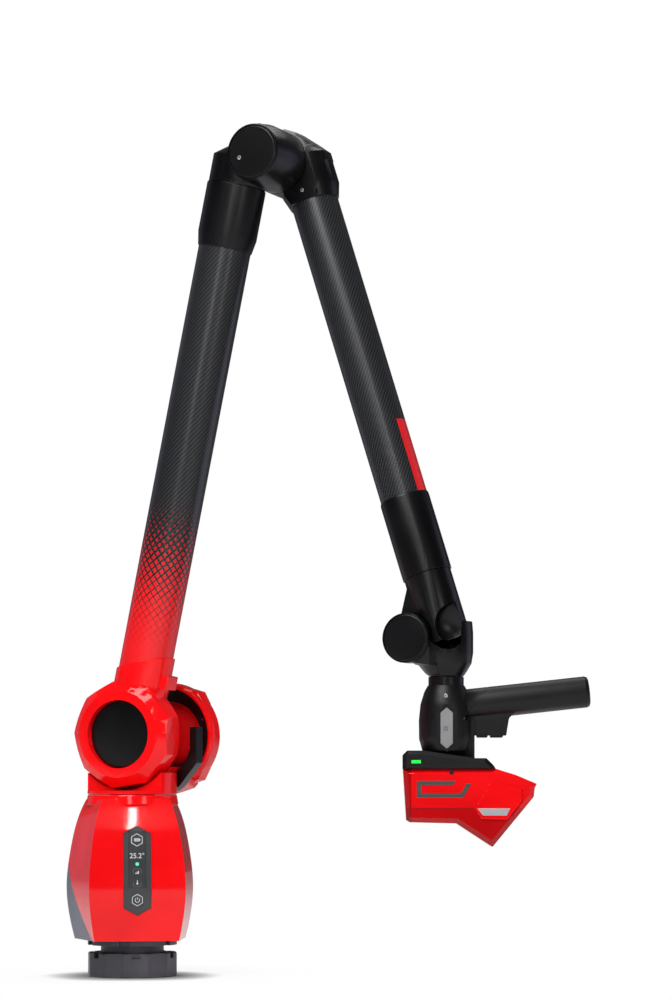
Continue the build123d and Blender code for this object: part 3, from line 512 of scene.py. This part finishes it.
def spun(profile, steps):
    """Solid of revolution about Y of a profile given as radius and depth."""
    bm = bmesh.new()
    rings = []
    for radius, depth in profile:
        if radius < 1e-7:
            rings.append([bm.verts.new((0, depth, 0))])
        else:
            rings.append([bm.verts.new((x, depth, z)) for x, z in circle(radius, steps=steps)])
    for first, second in zip(rings, rings[1:]):
        for i in range(steps):
            j = (i + 1) % steps
            corners = [first[i % len(first)], first[j % len(first)],
                       second[j % len(second)], second[i % len(second)]]
            corners = list(dict.fromkeys(corners))
            if len(corners) > 2:
                bm.faces.new(corners)
    return bm


def node_tree_in(matrix, *names):
    """Search tree over CAD nodes, seen from a joint frame."""
    inverse = matrix.inverted()
    points, faces = [], []
    for name in names:
        start = len(points)
        points += [inverse @ v.co for v in nodes[name].data.vertices]
        faces += [[start + i for i in p.vertices] for p in nodes[name].data.polygons]
    return BVHTree.FromPolygons(points, faces)


def press_on(bm, tree):
    """Lay a flat drawing on the surface in front of it, keeping the drawing's own thickness."""
    for vert in bm.verts:
        hit = tree.ray_cast(Vector((vert.co.x, -0.5, vert.co.z)), Vector((0, 1, 0)))
        if hit[0] is not None:
            vert.co.y += hit[0].y
    return bm


def welded(name):
    """Mesh of a CAD node with its facets joined along their edges."""
    bm = bmesh.new()
    bm.from_mesh(nodes[name].data)
    bmesh.ops.remove_doubles(bm, verts=bm.verts, dist=WELD)
    return bm


def place_skin(name, bm):
    source = nodes[name]
    return place_mesh(name + "_skin", bm, WORLD, source["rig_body"], source.data.materials[0])


def soften(name, width):
    """The CAD node again with its sharp outer edges rounded over, in the node's place."""
    bm = welded(name)
    bmesh.ops.dissolve_limit(bm, angle_limit=math.radians(FLAT_ANGLE), verts=bm.verts, edges=bm.edges)
    weight = bm.edges.layers.float.new("bevel_weight_edge")
    for edge in bm.edges:
        outer = len(edge.link_faces) == 2 and edge.is_convex
        if outer and edge.calc_face_angle() > math.radians(SKIN_ANGLE):
            edge[weight] = 1.0
    made = place_skin(name, bm)
    bevel_edges(made, width, "WEIGHT")
    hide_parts(name)


# The base's barrel: walls with their distance from the axis at the belly and their turn from -Y,
# and a profile of heights as shares of the barrel with the width there
SIDE_TURN, BACK_TURN = 10.7, 52.0
FRONT_DEPTH, SIDE_DEPTH, BACK_DEPTH = 68.0 * MM, 66.7 * MM, 78.0 * MM
BARREL_WALLS = ((FRONT_DEPTH, 0), (SIDE_DEPTH, 90 - SIDE_TURN), (SIDE_DEPTH, SIDE_TURN - 90),
                (BACK_DEPTH, 180 - BACK_TURN), (BACK_DEPTH, BACK_TURN - 180), (BACK_DEPTH, 180))
BARREL_LOW, BARREL_HIGH = 42.6 * MM, 204.2 * MM
BARREL_PROFILE = ((0.0, 0.875), (0.126, 0.94), (0.3738, 1.0), (0.64, 0.94), (0.838, 0.845), (1.0, 0.70))
BAND_HEIGHT = 4 * MM
WALL_REACH = 1.6 * MM
SOLVER_ROUNDS = 200


def barrel_bends():
    """Second derivatives of the natural cubic through the barrel's profile."""
    count = len(BARREL_PROFILE)
    heights = [BARREL_LOW + share * (BARREL_HIGH - BARREL_LOW) for share, _ in BARREL_PROFILE]
    widths = [width for _, width in BARREL_PROFILE]
    bends = [0.0] * count
    for _ in range(SOLVER_ROUNDS):
        for i in range(1, count - 1):
            h0, h1 = heights[i] - heights[i - 1], heights[i + 1] - heights[i]
            pull = 6 * ((widths[i + 1] - widths[i]) / h1 - (widths[i] - widths[i - 1]) / h0)
            bends[i] = (pull - h0 * bends[i - 1] - h1 * bends[i + 1]) / (2 * (h0 + h1))
    return heights, widths, bends


def barrel_at(z):
    """Share of the belly's depth at a height, and its slope there."""
    heights, widths, bends = BARREL_BENDS
    i = 0
    while i < len(heights) - 2 and heights[i + 1] < z:
        i += 1
    span = heights[i + 1] - heights[i]
    a, b = (heights[i + 1] - z) / span, (z - heights[i]) / span
    share = (a * widths[i] + b * widths[i + 1]
             + ((a ** 3 - a) * bends[i] + (b ** 3 - b) * bends[i + 1]) * span ** 2 / 6)
    slope = ((widths[i + 1] - widths[i]) / span
             + ((1 - 3 * a ** 2) * bends[i] + (3 * b ** 2 - 1) * bends[i + 1]) * span / 6)
    return share, slope


def smooth_barrel(name):
    """The base's skin again, cut into level bands whose shading follows the barrel's true curve."""
    bm = welded(name)
    low, high = min(v.co.z for v in bm.verts), max(v.co.z for v in bm.verts)
    level = low + BAND_HEIGHT
    while level < high:
        bmesh.ops.bisect_plane(bm, geom=bm.verts[:] + bm.edges[:] + bm.faces[:], dist=1e-6,
                               plane_co=(0, 0, level), plane_no=(0, 0, 1))
        level += BAND_HEIGHT
    made = place_skin(name, bm)
    mesh = made.data
    normals = [Vector(corner.vector) for corner in mesh.corner_normals]
    for face in mesh.polygons:
        for depth, turn_angle in BARREL_WALLS:
            out = turn("Z", turn_angle) @ Vector((0, -1, 0))
            flat = Vector((face.normal.x, face.normal.y, 0))
            if flat.length < 0.8 or flat.normalized().dot(out) < 0.999:
                continue
            share = barrel_at(face.center.z)[0]
            if abs(face.center.dot(out) - depth * share) > WALL_REACH:
                continue
            for loop in face.loop_indices:
                z = mesh.vertices[mesh.loops[loop].vertex_index].co.z
                normals[loop] = Vector((out.x, out.y, -depth * barrel_at(z)[1])).normalized()
            break
    mesh.normals_split_custom_set([tuple(n) for n in normals])
    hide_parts(name)


# Edge radii of the CAD castings, in millimetres
EDGE_RADII = {
    "shoulder_hub": 5.0, "shoulder_yoke": 2.6, "scanner_housing": 2.2,
    "scanner_cover": 1.4, "side_panels": 0.9, "handle_body": 1.4, "wrist_fork": 1.4,
    "wrist_housing": 1.2, "elbow_housing": 1.3, "forearm_head": 1.6, "arm_collar": 0.5,
    "rest_block": 1.0, "stop_bracket": 0.9, "mount_ring": 0.8, "base_flange": 0.5,
    "grip_shell": 0.8, "upper_sleeve": 0.7, "forearm_sleeve": 0.7, "elbow_cap": 0.6,
    "wrist_caps": 0.6, "shoulder_cap": 0.5, "menu_button": 0.5,
}


def soften_edges():
    for name, radius in EDGE_RADII.items():
        soften(name, radius * MM)
    for name in ("front_shell", "rear_cover", "control_panel"):
        smooth_barrel(name)


# Drawing on the base's control panel: plain symbols, a number and a lamp
INK_DEPTH = 0.12 * MM
LINE = 0.75 * MM
BATTERY_HEX_HEIGHT = 158.1 * MM
NUMBER_HEIGHT = 140.3 * MM
NUMBER_SIZE = 8.2 * MM
HALF_FIGURE = 0.36         # half of a figure's height, as a share of the font size
DOT_HEIGHT = 130.7 * MM
DOT_RADIUS = 2.1 * MM
BARS_HEIGHT = 121.3 * MM
PROBE_HEIGHT = 109.9 * MM
POWER_HEIGHT = 89.8 * MM
HEX_RADIUS = 7.4 * MM


def hex_frame(bm, radius, middle):
    return band(circle(radius, z=middle, steps=6), circle(radius - LINE, z=middle, steps=6),
                -INK_DEPTH, 0.0, bm)


def battery_symbol(bm, middle):
    wide, tall, bar = 3.1 * MM, 1.7 * MM, 0.7 * MM
    outer = box(-wide, wide, middle - tall, middle + tall)
    inner = [(x * 0.82, middle + (z - middle) * 0.66) for x, z in outer]
    band(outer, inner, -INK_DEPTH, 0.0, bm)
    slab(box(wide, wide + 0.8 * MM, middle - bar, middle + bar), -INK_DEPTH, 0.0, bm)
    for i in range(3):
        left = -wide + (1.0 + 1.6 * i) * MM
        slab(box(left, left + 1.1 * MM, middle - bar, middle + bar), -INK_DEPTH, 0.0, bm)


def power_symbol(bm, middle):
    radius = 2.5 * MM
    arc = [(radius * math.sin(a), middle + radius * math.cos(a))
           for a in (math.radians(40 + 280 * i / 20) for i in range(21))]
    stroke(arc, 0.6 * MM, -INK_DEPTH, 0.0, bm)
    stroke([(0, middle + 0.4 * MM), (0, middle + 3.1 * MM)], 0.6 * MM, -INK_DEPTH, 0.0, bm)


def bars_symbol(bm, middle):
    foot = middle - 1.8 * MM
    for i in range(3):
        left, tall = (-2.1 + 1.5 * i) * MM, (1.4 + 1.1 * i) * MM
        slab(box(left, left + 0.9 * MM, foot, foot + tall), -INK_DEPTH, 0.0, bm)


def probe_symbol(bm, middle):
    stroke([(0, middle + 2.4 * MM), (0, middle - 0.4 * MM)], 0.7 * MM, -INK_DEPTH, 0.0, bm)
    slab(circle(1.1 * MM, z=middle - 1.4 * MM, steps=16), -INK_DEPTH, 0.0, bm)


def rounded(half_width, low, high, radius, steps=5):
    """Rounded rectangle, from the upper right corner round."""
    points = []
    for cx, cz, start in ((half_width - radius, high - radius, 0), (half_width - radius, low + radius, 90),
                          (radius - half_width, low + radius, 180),
                          (radius - half_width, high - radius, 270)):
        for i in range(steps + 1):
            a = math.radians(start + 90 * i / steps)
            points.append((cx + radius * math.sin(a), cz + radius * math.cos(a)))
    return points


def ink(name, bm, node, body, material=WHITE_INK, slot="key_grey"):
    """Flat drawing laid on a CAD node of the base."""
    place_mesh(name, press_on(bm, node_tree_in(WORLD, node)), WORLD, body, material)


def number_mesh(text, middle):
    """Figures in the built-in font, upright and facing -Y."""
    words = bpy.data.curves.new("panel_number", "FONT")
    words.body = text
    words.size = NUMBER_SIZE
    words.align_x = "CENTER"
    words.extrude = INK_DEPTH / 2
    lettering = bpy.data.objects.new("panel_number_source", words)
    flat_mesh = bpy.data.meshes.new_from_object(lettering)
    bpy.data.objects.remove(lettering)
    number = bmesh.new()
    number.from_mesh(flat_mesh)
    upright = turn("X", 90)
    upright.translation = (0, 0, middle - HALF_FIGURE * NUMBER_SIZE)
    bmesh.ops.transform(number, matrix=upright, verts=number.verts)
    for vert in number.verts:
        vert.co.y -= INK_DEPTH / 2
    return number


def panel_graphics():
    symbols = bmesh.new()
    hex_frame(symbols, HEX_RADIUS, BATTERY_HEX_HEIGHT)
    battery_symbol(symbols, BATTERY_HEX_HEIGHT)
    bars_symbol(symbols, BARS_HEIGHT)
    probe_symbol(symbols, PROBE_HEIGHT)
    ink("panel_symbols", symbols, "display_window", "base")
    outer = rounded(4.6 * MM, PROBE_HEIGHT - 5.2 * MM, BARS_HEIGHT + 4.2 * MM, 1.6 * MM)
    inner = rounded(4.35 * MM, PROBE_HEIGHT - 4.95 * MM, BARS_HEIGHT + 3.95 * MM, 1.4 * MM)
    ink("panel_symbol_frame", band(outer, inner, -INK_DEPTH, 0.0), "display_window", "base", KEY)
    dot = slab(circle(DOT_RADIUS, z=DOT_HEIGHT, steps=24), -INK_DEPTH, 0.0)
    ink("panel_dot", dot, "display_window", "base", GREEN_INK, "lamp_green")
    ink("panel_number", number_mesh("25.2\u00b0", NUMBER_HEIGHT), "display_window", "base")
    key = bmesh.new()
    hex_frame(key, HEX_RADIUS - 0.4 * MM, POWER_HEIGHT)
    power_symbol(key, POWER_HEIGHT)
    ink("power_symbol", key, "power_button", "power_key")


# Scanner front in the hand-piece's frame: outlines of the vent inlay and of the bare plate, sensor dot
SCANNER_FRONT = -33.0 * MM
VENT_OUTER = ((10.0, -118.0), (-33.4, -118.0), (-33.4, -136.8), (18.6, -136.8), (27.4, -121.2),
              (21.9, -121.2), (15.9, -131.8), (-28.4, -131.8), (-28.4, -122.8), (7.0, -122.8))
PLATE = ((34.0, -148.7), (70.8, -148.7), (66.7, -156.7), (40.3, -156.7))
SENSOR = (5.3, -108.8)
SENSOR_PROFILE = ((0, -0.2), (1.6, -0.3), (2.6, -0.1), (2.7, 0.6), (0, 0.6))
CREASE_WIDTH = 0.5 * MM
CREASE_OUT, CREASE_IN = -0.06 * MM, 0.1 * MM
HOLE_PITCH = 1.9 * MM
ROW_STEP = 0.866           # rows of staggered holes stand at the height of a triangle
HOLE_OFFSET = 4000.0       # keeps the running count of holes positive


def in_metres(points):
    return [(a * MM, b * MM) for a, b in points]


def perforated_metal():
    """Perforated sheet: staggered round holes in grey metal; the holes are no openings but near-black colour,
    a painted shade.
    """
    g = Graph("perforated_sheet")
    x, _, z = g.split(g.place(HEAD))
    u = g.math("MULTIPLY", x, 1 / HOLE_PITCH)
    v = g.math("MULTIPLY", z, 1 / (HOLE_PITCH * ROW_STEP))
    odd = g.math("MODULO", g.math("FLOOR", g.math("ADD", v, HOLE_OFFSET)), 2.0)
    u = g.math("MULTIPLY_ADD", odd, 0.5, u)
    du = g.math("SUBTRACT", g.math("FRACT", g.math("ADD", u, HOLE_OFFSET)), 0.5)
    dv = g.math("SUBTRACT", g.math("FRACT", g.math("ADD", v, HOLE_OFFSET)), 0.5)
    near = g.math("SQRT", g.math("ADD", g.math("MULTIPLY", du, du), g.math("MULTIPLY", dv, dv)))
    web = g.smooth(near, 0.30, 0.38)
    # Painted shade: the holes are near-black colour on a flat sheet.
    color = g.mix(web, rgba(0.003, 0.003, 0.003), rgba(0.11, 0.10, 0.095))
    return g.surface(color, 0.45, g.bump(web, 0.0002, 0.8), Metallic=0.3)


def scanner_details():
    """Vent inlay, bare plate, sensor dot and dark bars along the creases on the scanner's front, the bars a
    painted shade of the creases.
    """
    tree = node_tree_in(HEAD, "scanner_housing")
    sheet = press_on(slab(in_metres(VENT_OUTER), -0.25 * MM, 0.4 * MM), tree)
    place_mesh("vent_sheet", sheet, HEAD, "hand", perforated_metal())
    plate = press_on(slab(in_metres(PLATE), -0.5 * MM, 0.5 * MM), node_tree_in(HEAD, "side_panels"))
    place_mesh("bare_plate", plate, HEAD, "hand", BARE, 0.25 * MM)
    at = HEAD @ shift(SENSOR[0] * MM, SCANNER_FRONT, SENSOR[1] * MM)
    place_mesh("sensor_dot", spun(in_metres(SENSOR_PROFILE), 32), at, "hand", SOFT_BLACK)
    # Painted shade: thin dark bars laid along the two creases.
    crease_shade = stroke([(CREASE_LEFT, -110.6 * MM), (CREASE_LEFT, -161.0 * MM)], CREASE_WIDTH, CREASE_OUT,
                     CREASE_IN)
    stroke([(CREASE_LEFT, CREASE_HEIGHT), (29.0 * MM, CREASE_HEIGHT)], CREASE_WIDTH, CREASE_OUT, CREASE_IN,
           crease_shade)
    place_mesh("scanner_crease_shade", press_on(crease_shade, tree), HEAD, "hand", SOFT_BLACK)


# Socket screws: the head's profile, each radius as a share and each depth in millimetres
SCREW_RADIUS = 2.2 * MM
SCREW_PROFILE = ((0, 0.9), (0, -0.15), (0.5, -0.15), (0.55, -0.55), (0.85, -0.6), (1.0, -0.35), (1.0, 0.9),
                 (0, 0.9))
SOCKET_SHARE = 0.42


def small_screw(name, matrix, carrier, body):
    """Socket screw head laid on the piece in front of it, its face towards -Y."""
    hit = node_tree_in(matrix, carrier).ray_cast(Vector((0, -0.4, 0)), Vector((0, 1, 0)))
    at = matrix @ shift(y=hit[0].y)
    head = spun([(share * SCREW_RADIUS, depth * MM) for share, depth in SCREW_PROFILE], 24)
    place_mesh(name, head, at, body, BARE)
    # Painted shade: a black hexagon in the head's recess stands for the dark of the socket.
    floor = slab(circle(SCREW_RADIUS * SOCKET_SHARE, steps=6), -0.3 * MM, 0.5 * MM)
    place_mesh(name + "_socket_shade", floor, at, body, BLACK)


def add_screws():
    small_screw("elbow_cap_screw", ELBOW @ shift(-14.0 * MM, 0, -9.0 * MM), "elbow_cap", "upper_arm")
    small_screw("elbow_head_screw", FOREARM @ shift(18.8 * MM, 0, -41.8 * MM), "forearm_head", "elbow")
    small_screw("handle_screw", HEAD @ shift(-1.0 * MM, 0, -22.9 * MM), "handle_body", "hand")


PANEL_HALF = 15.8 * MM
PANEL_TALL = 101.8 * MM
PANEL_POINT = 8.6 * MM
PANEL_MIDDLE = 123.0 * MM
PANEL_RUNS = 22


def panel_outline(grow):
    """The long hexagon of the panel, its tall sides cut into short runs so that it follows the shell."""
    half, tall = PANEL_HALF + grow, PANEL_TALL / 2 + grow
    low, high = PANEL_MIDDLE - tall + PANEL_POINT, PANEL_MIDDLE + tall - PANEL_POINT
    right = [(half, low + (high - low) * i / PANEL_RUNS) for i in range(PANEL_RUNS + 1)]
    left = [(-x, z) for x, z in right[::-1]]
    return right + [(0.0, PANEL_MIDDLE + tall)] + left + [(0.0, PANEL_MIDDLE - tall)]


def add_panel_rim():
    """Thin red lip of the shell round the panel."""
    rim = band(panel_outline(1.3 * MM), panel_outline(0.1 * MM), -0.5 * MM, 0.6 * MM)
    shell = node_tree_in(WORLD, "front_shell", "control_panel")
    place_mesh("panel_rim", press_on(rim, shell), WORLD, "base", RED, 0.2 * MM)


# Painted shade in two seams: dark pieces between the yoke's neck and the base, and in the crease behind the
# round grip, where the gaps are dark
NECK_GAP_SHADE = ((36.0, 209.3), (50.6, 209.3), (50.6, 210.4), (36.0, 210.4), (36.0, 209.3))
GAP_SHADE_LONG, GAP_SHADE_SHORT, GAP_SHADE_HALF_DEPTH = 23.4 * MM, 17.1 * MM, 0.35 * MM
GAP_SHADE_POINTS = 48
GAP_SHADE_AT = HEAD @ shift(32.05 * MM, 0, -31.6 * MM)
GAP_SHADE_LIE = Matrix(((-0.5932, 0.8051, 0), (0, 0, 1), (-0.8051, -0.5932, 0))).to_4x4()


def add_gap_shades():
    # Painted shade: a dark ring and a dark sheet fill the two seams.
    place_mesh("neck_gap_shade", spun(in_metres(NECK_GAP_SHADE), 96), YOKE @ turn("X", 90), "yoke", GAP_SHADE)
    angles = [math.radians(360 * i / GAP_SHADE_POINTS) for i in range(GAP_SHADE_POINTS)]
    gap_shade_sheet = slab([(GAP_SHADE_LONG * math.cos(a), GAP_SHADE_SHORT * math.sin(a)) for a in angles],
                  -GAP_SHADE_HALF_DEPTH, GAP_SHADE_HALF_DEPTH)
    place_mesh("grip_gap_shade", gap_shade_sheet, GAP_SHADE_AT @ GAP_SHADE_LIE, "hand", GAP_SHADE)


# Plain list symbol on the menu key
KEY_SYMBOL_X, KEY_SYMBOL_Z = -1.0 * MM, -59.7 * MM
KEY_SYMBOL_HALF = 2.1 * MM
KEY_SYMBOL_LINE = 0.35 * MM
KEY_INK_OUT, KEY_INK_IN = -0.08 * MM, 0.02 * MM


def add_key_symbol():
    x, z, half, inner = KEY_SYMBOL_X, KEY_SYMBOL_Z, KEY_SYMBOL_HALF, KEY_SYMBOL_HALF * 0.8
    icon = band(box(x - half, x + half, z - half, z + half), box(x - inner, x + inner, z - inner, z + inner),
                KEY_INK_OUT, KEY_INK_IN)
    for level in (-0.35, 0.35):
        height = z + level * half
        stroke([(x - half * 0.5, height), (x + half * 0.5, height)], KEY_SYMBOL_LINE, KEY_INK_OUT, KEY_INK_IN,
               icon)
    place_mesh("key_symbol", press_on(icon, node_tree_in(HEAD, "menu_button")), HEAD, "menu_key", SOFT_BLACK)


# Camera as the photograph was taken, set out across and towards the viewer from the base's axis
VIEW_TURN = -8.7
CAMERA_ACROSS = 235 * MM
CAMERA_AWAY = 3.5
CAMERA_HEIGHT = 208 * MM
LENS = 108.9               # millimetres, on a frame 36 mm wide
SENSOR_WIDTH = 36.0
HORIZON_SHIFT = 0.296
VIEW_RIGHT = turn("Z", VIEW_TURN) @ Vector((1, 0, 0))
VIEW_BACK = turn("Z", VIEW_TURN) @ Vector((0, -1, 0))


def add_camera():
    data = bpy.data.cameras.new("photo_camera")
    data.lens = LENS
    data.sensor_width = SENSOR_WIDTH
    data.shift_y = HORIZON_SHIFT
    camera = bpy.data.objects.new("photo_camera", data)
    scene.collection.objects.link(camera)
    camera.location = (VIEW_RIGHT * CAMERA_ACROSS + VIEW_BACK * CAMERA_AWAY
                       + Vector((0, 0, CAMERA_HEIGHT)))
    camera.rotation_euler = (-VIEW_BACK).to_track_quat("-Z", "Y").to_euler()
    scene.camera = camera


def aim(azimuth, elevation):
    """Direction seen from the arm: 0 is towards the camera, positive to the right."""
    level = VIEW_RIGHT * math.sin(math.radians(azimuth)) + VIEW_BACK * math.cos(math.radians(azimuth))
    return level * math.cos(math.radians(elevation)) + Vector((0, 0, math.sin(math.radians(elevation))))


LIGHT_CENTRE = VIEW_RIGHT * 0.2 + Vector((0, 0, 0.5))
BLUISH = (0.72, 0.74, 1.0)


def add_soft_box(name, azimuth, elevation, away, width, tall, glow, color=(1, 1, 1)):
    """Soft box that faces the middle of the arm; glow is its radiance, 1 being white."""
    data = bpy.data.lights.new(name, "AREA")
    data.shape = "RECTANGLE"
    data.size, data.size_y = width, tall
    data.energy = glow * math.pi * width * tall
    data.color = color
    lamp = bpy.data.objects.new(name, data)
    scene.collection.objects.link(lamp)
    lamp.location = LIGHT_CENTRE + aim(azimuth, elevation) * away
    lamp.rotation_euler = (-aim(azimuth, elevation)).to_track_quat("-Z", "Y").to_euler()
    lamp.visible_camera = False


def add_lights():
    add_soft_box("key_high", -24, 46, 2.4, 1.4, 1.4, 9.0)
    add_soft_box("overhead", 0, 80, 2.3, 0.7, 0.7, 3.0)
    add_soft_box("front_left", -8, 8, 2.5, 0.40, 0.7, 5.0)
    add_soft_box("front_right", 31, 8, 2.6, 0.5, 0.8, 3.6)
    add_soft_box("top_back", 160, 62, 2.2, 1.7, 1.0, 2.6)
    add_soft_box("side_right", 108, 4, 2.2, 1.2, 1.8, 0.7, BLUISH)
    add_soft_box("side_left", -128, 6, 2.2, 1.2, 1.8, 0.22, BLUISH)
    # Narrow tube whose mirror image is the white band above the panel
    add_soft_box("stripe", 5.6, 24, 1.42, 0.013, 0.50, 55.0)


# White backdrop: half-angles behind the arm inside which mirrors see it whole, and past which not at all
BACKDROP_CORE, BACKDROP_EDGE = 1.5, 4.0
MIRROR_LEVEL = 0.07
DIFFUSE_LEVEL = 0.24


def mirror_rays(g, path):
    return g.math("MAXIMUM", path.outputs["Is Glossy Ray"], path.outputs["Is Transmission Ray"])


def set_world():
    """White for the camera and for mirrors that look past the arm, a soft even light for the rest."""
    scene.world = bpy.data.worlds.new("studio")
    g = Graph("studio", scene.world)

    def background(color, strength):
        made = g.add("ShaderNodeBackground")
        made.inputs["Color"].default_value = rgba(*color)
        made.inputs["Strength"].default_value = strength
        return made

    path = g.add("ShaderNodeLightPath")
    along = g.add("ShaderNodeVectorMath", operation="DOT_PRODUCT")
    g.link(g.add("ShaderNodeTexCoord").outputs["Generated"], along.inputs[0])
    along.inputs[1].default_value = -VIEW_BACK
    cone = g.smooth(along.outputs["Value"], math.cos(math.radians(BACKDROP_EDGE)),
                    math.cos(math.radians(BACKDROP_CORE)))
    share = g.math("MAXIMUM", path.outputs["Is Camera Ray"], g.math("MULTIPLY", mirror_rays(g, path), cone))
    sharp = g.blend(share, background((0.93, 0.94, 1.0), MIRROR_LEVEL), background((1, 1, 1), 1.0))
    g.finish(g.blend(path.outputs["Is Diffuse Ray"], sharp, background((0.96, 0.97, 1.0), DIFFUSE_LEVEL)))
    scene.view_settings.view_transform = "Standard"


FLOOR_HALF = 12.0
FLOOR_NEAR, FLOOR_FAR = 0.06, 0.30     # reach of the soft shade round the base, in metres
CONTACT_REACH = 0.06
CONTACT_POWER = 3.0


def add_floor():
    """White floor: its own glow for the camera and for mirrors, shaded where the arm stands on it, by the
    lamps and by a painted contact shadow in the glow.
    """
    mesh = bpy.data.meshes.new("studio_floor")
    corners = [(x, y, 0) for x, y in box(-FLOOR_HALF, FLOOR_HALF, -FLOOR_HALF, FLOOR_HALF)]
    mesh.from_pydata(corners, [], [(0, 1, 2, 3)])
    floor = bpy.data.objects.new("studio_floor", mesh)
    scene.collection.objects.link(floor)
    g = Graph("floor_white")
    path = g.add("ShaderNodeLightPath")
    out = g.add("ShaderNodeVectorMath", operation="LENGTH")
    g.link(g.place(), out.inputs[0])
    distance = out.outputs["Value"]
    plain = g.add("ShaderNodeBsdfDiffuse")
    plain.inputs["Color"].default_value = rgba(0.88, 0.88, 0.89)
    # Painted contact shadow: ambient occlusion darkens the floor's glow next to the arm.
    hidden = g.add("ShaderNodeAmbientOcclusion")
    hidden.inputs["Distance"].default_value = CONTACT_REACH
    painted_contact_shadow = g.math("POWER", hidden.outputs["AO"], CONTACT_POWER)
    glow = g.add("ShaderNodeEmission")
    g.link(g.mix(painted_contact_shadow, rgba(0.02, 0.02, 0.022), rgba(1, 1, 1)), glow.inputs["Color"])
    glow.inputs["Strength"].default_value = 1.0
    mirrored = g.math("MULTIPLY", mirror_rays(g, path), g.smooth(distance, 0.35, 1.1, 0.25, 0.0))
    seen = g.math("MAXIMUM", path.outputs["Is Camera Ray"], mirrored)
    share = g.math("MULTIPLY", seen, g.smooth(distance, FLOOR_NEAR, FLOOR_FAR, 0.86, 1.0))
    mesh.materials.append(g.finish(g.blend(share, plain, glow)))


dress_nodes()
BARREL_BENDS = barrel_bends()
soften_edges()
panel_graphics()
scanner_details()
add_screws()
add_panel_rim()
add_gap_shades()
add_key_symbol()
add_camera()
add_lights()
set_world()
add_floor()
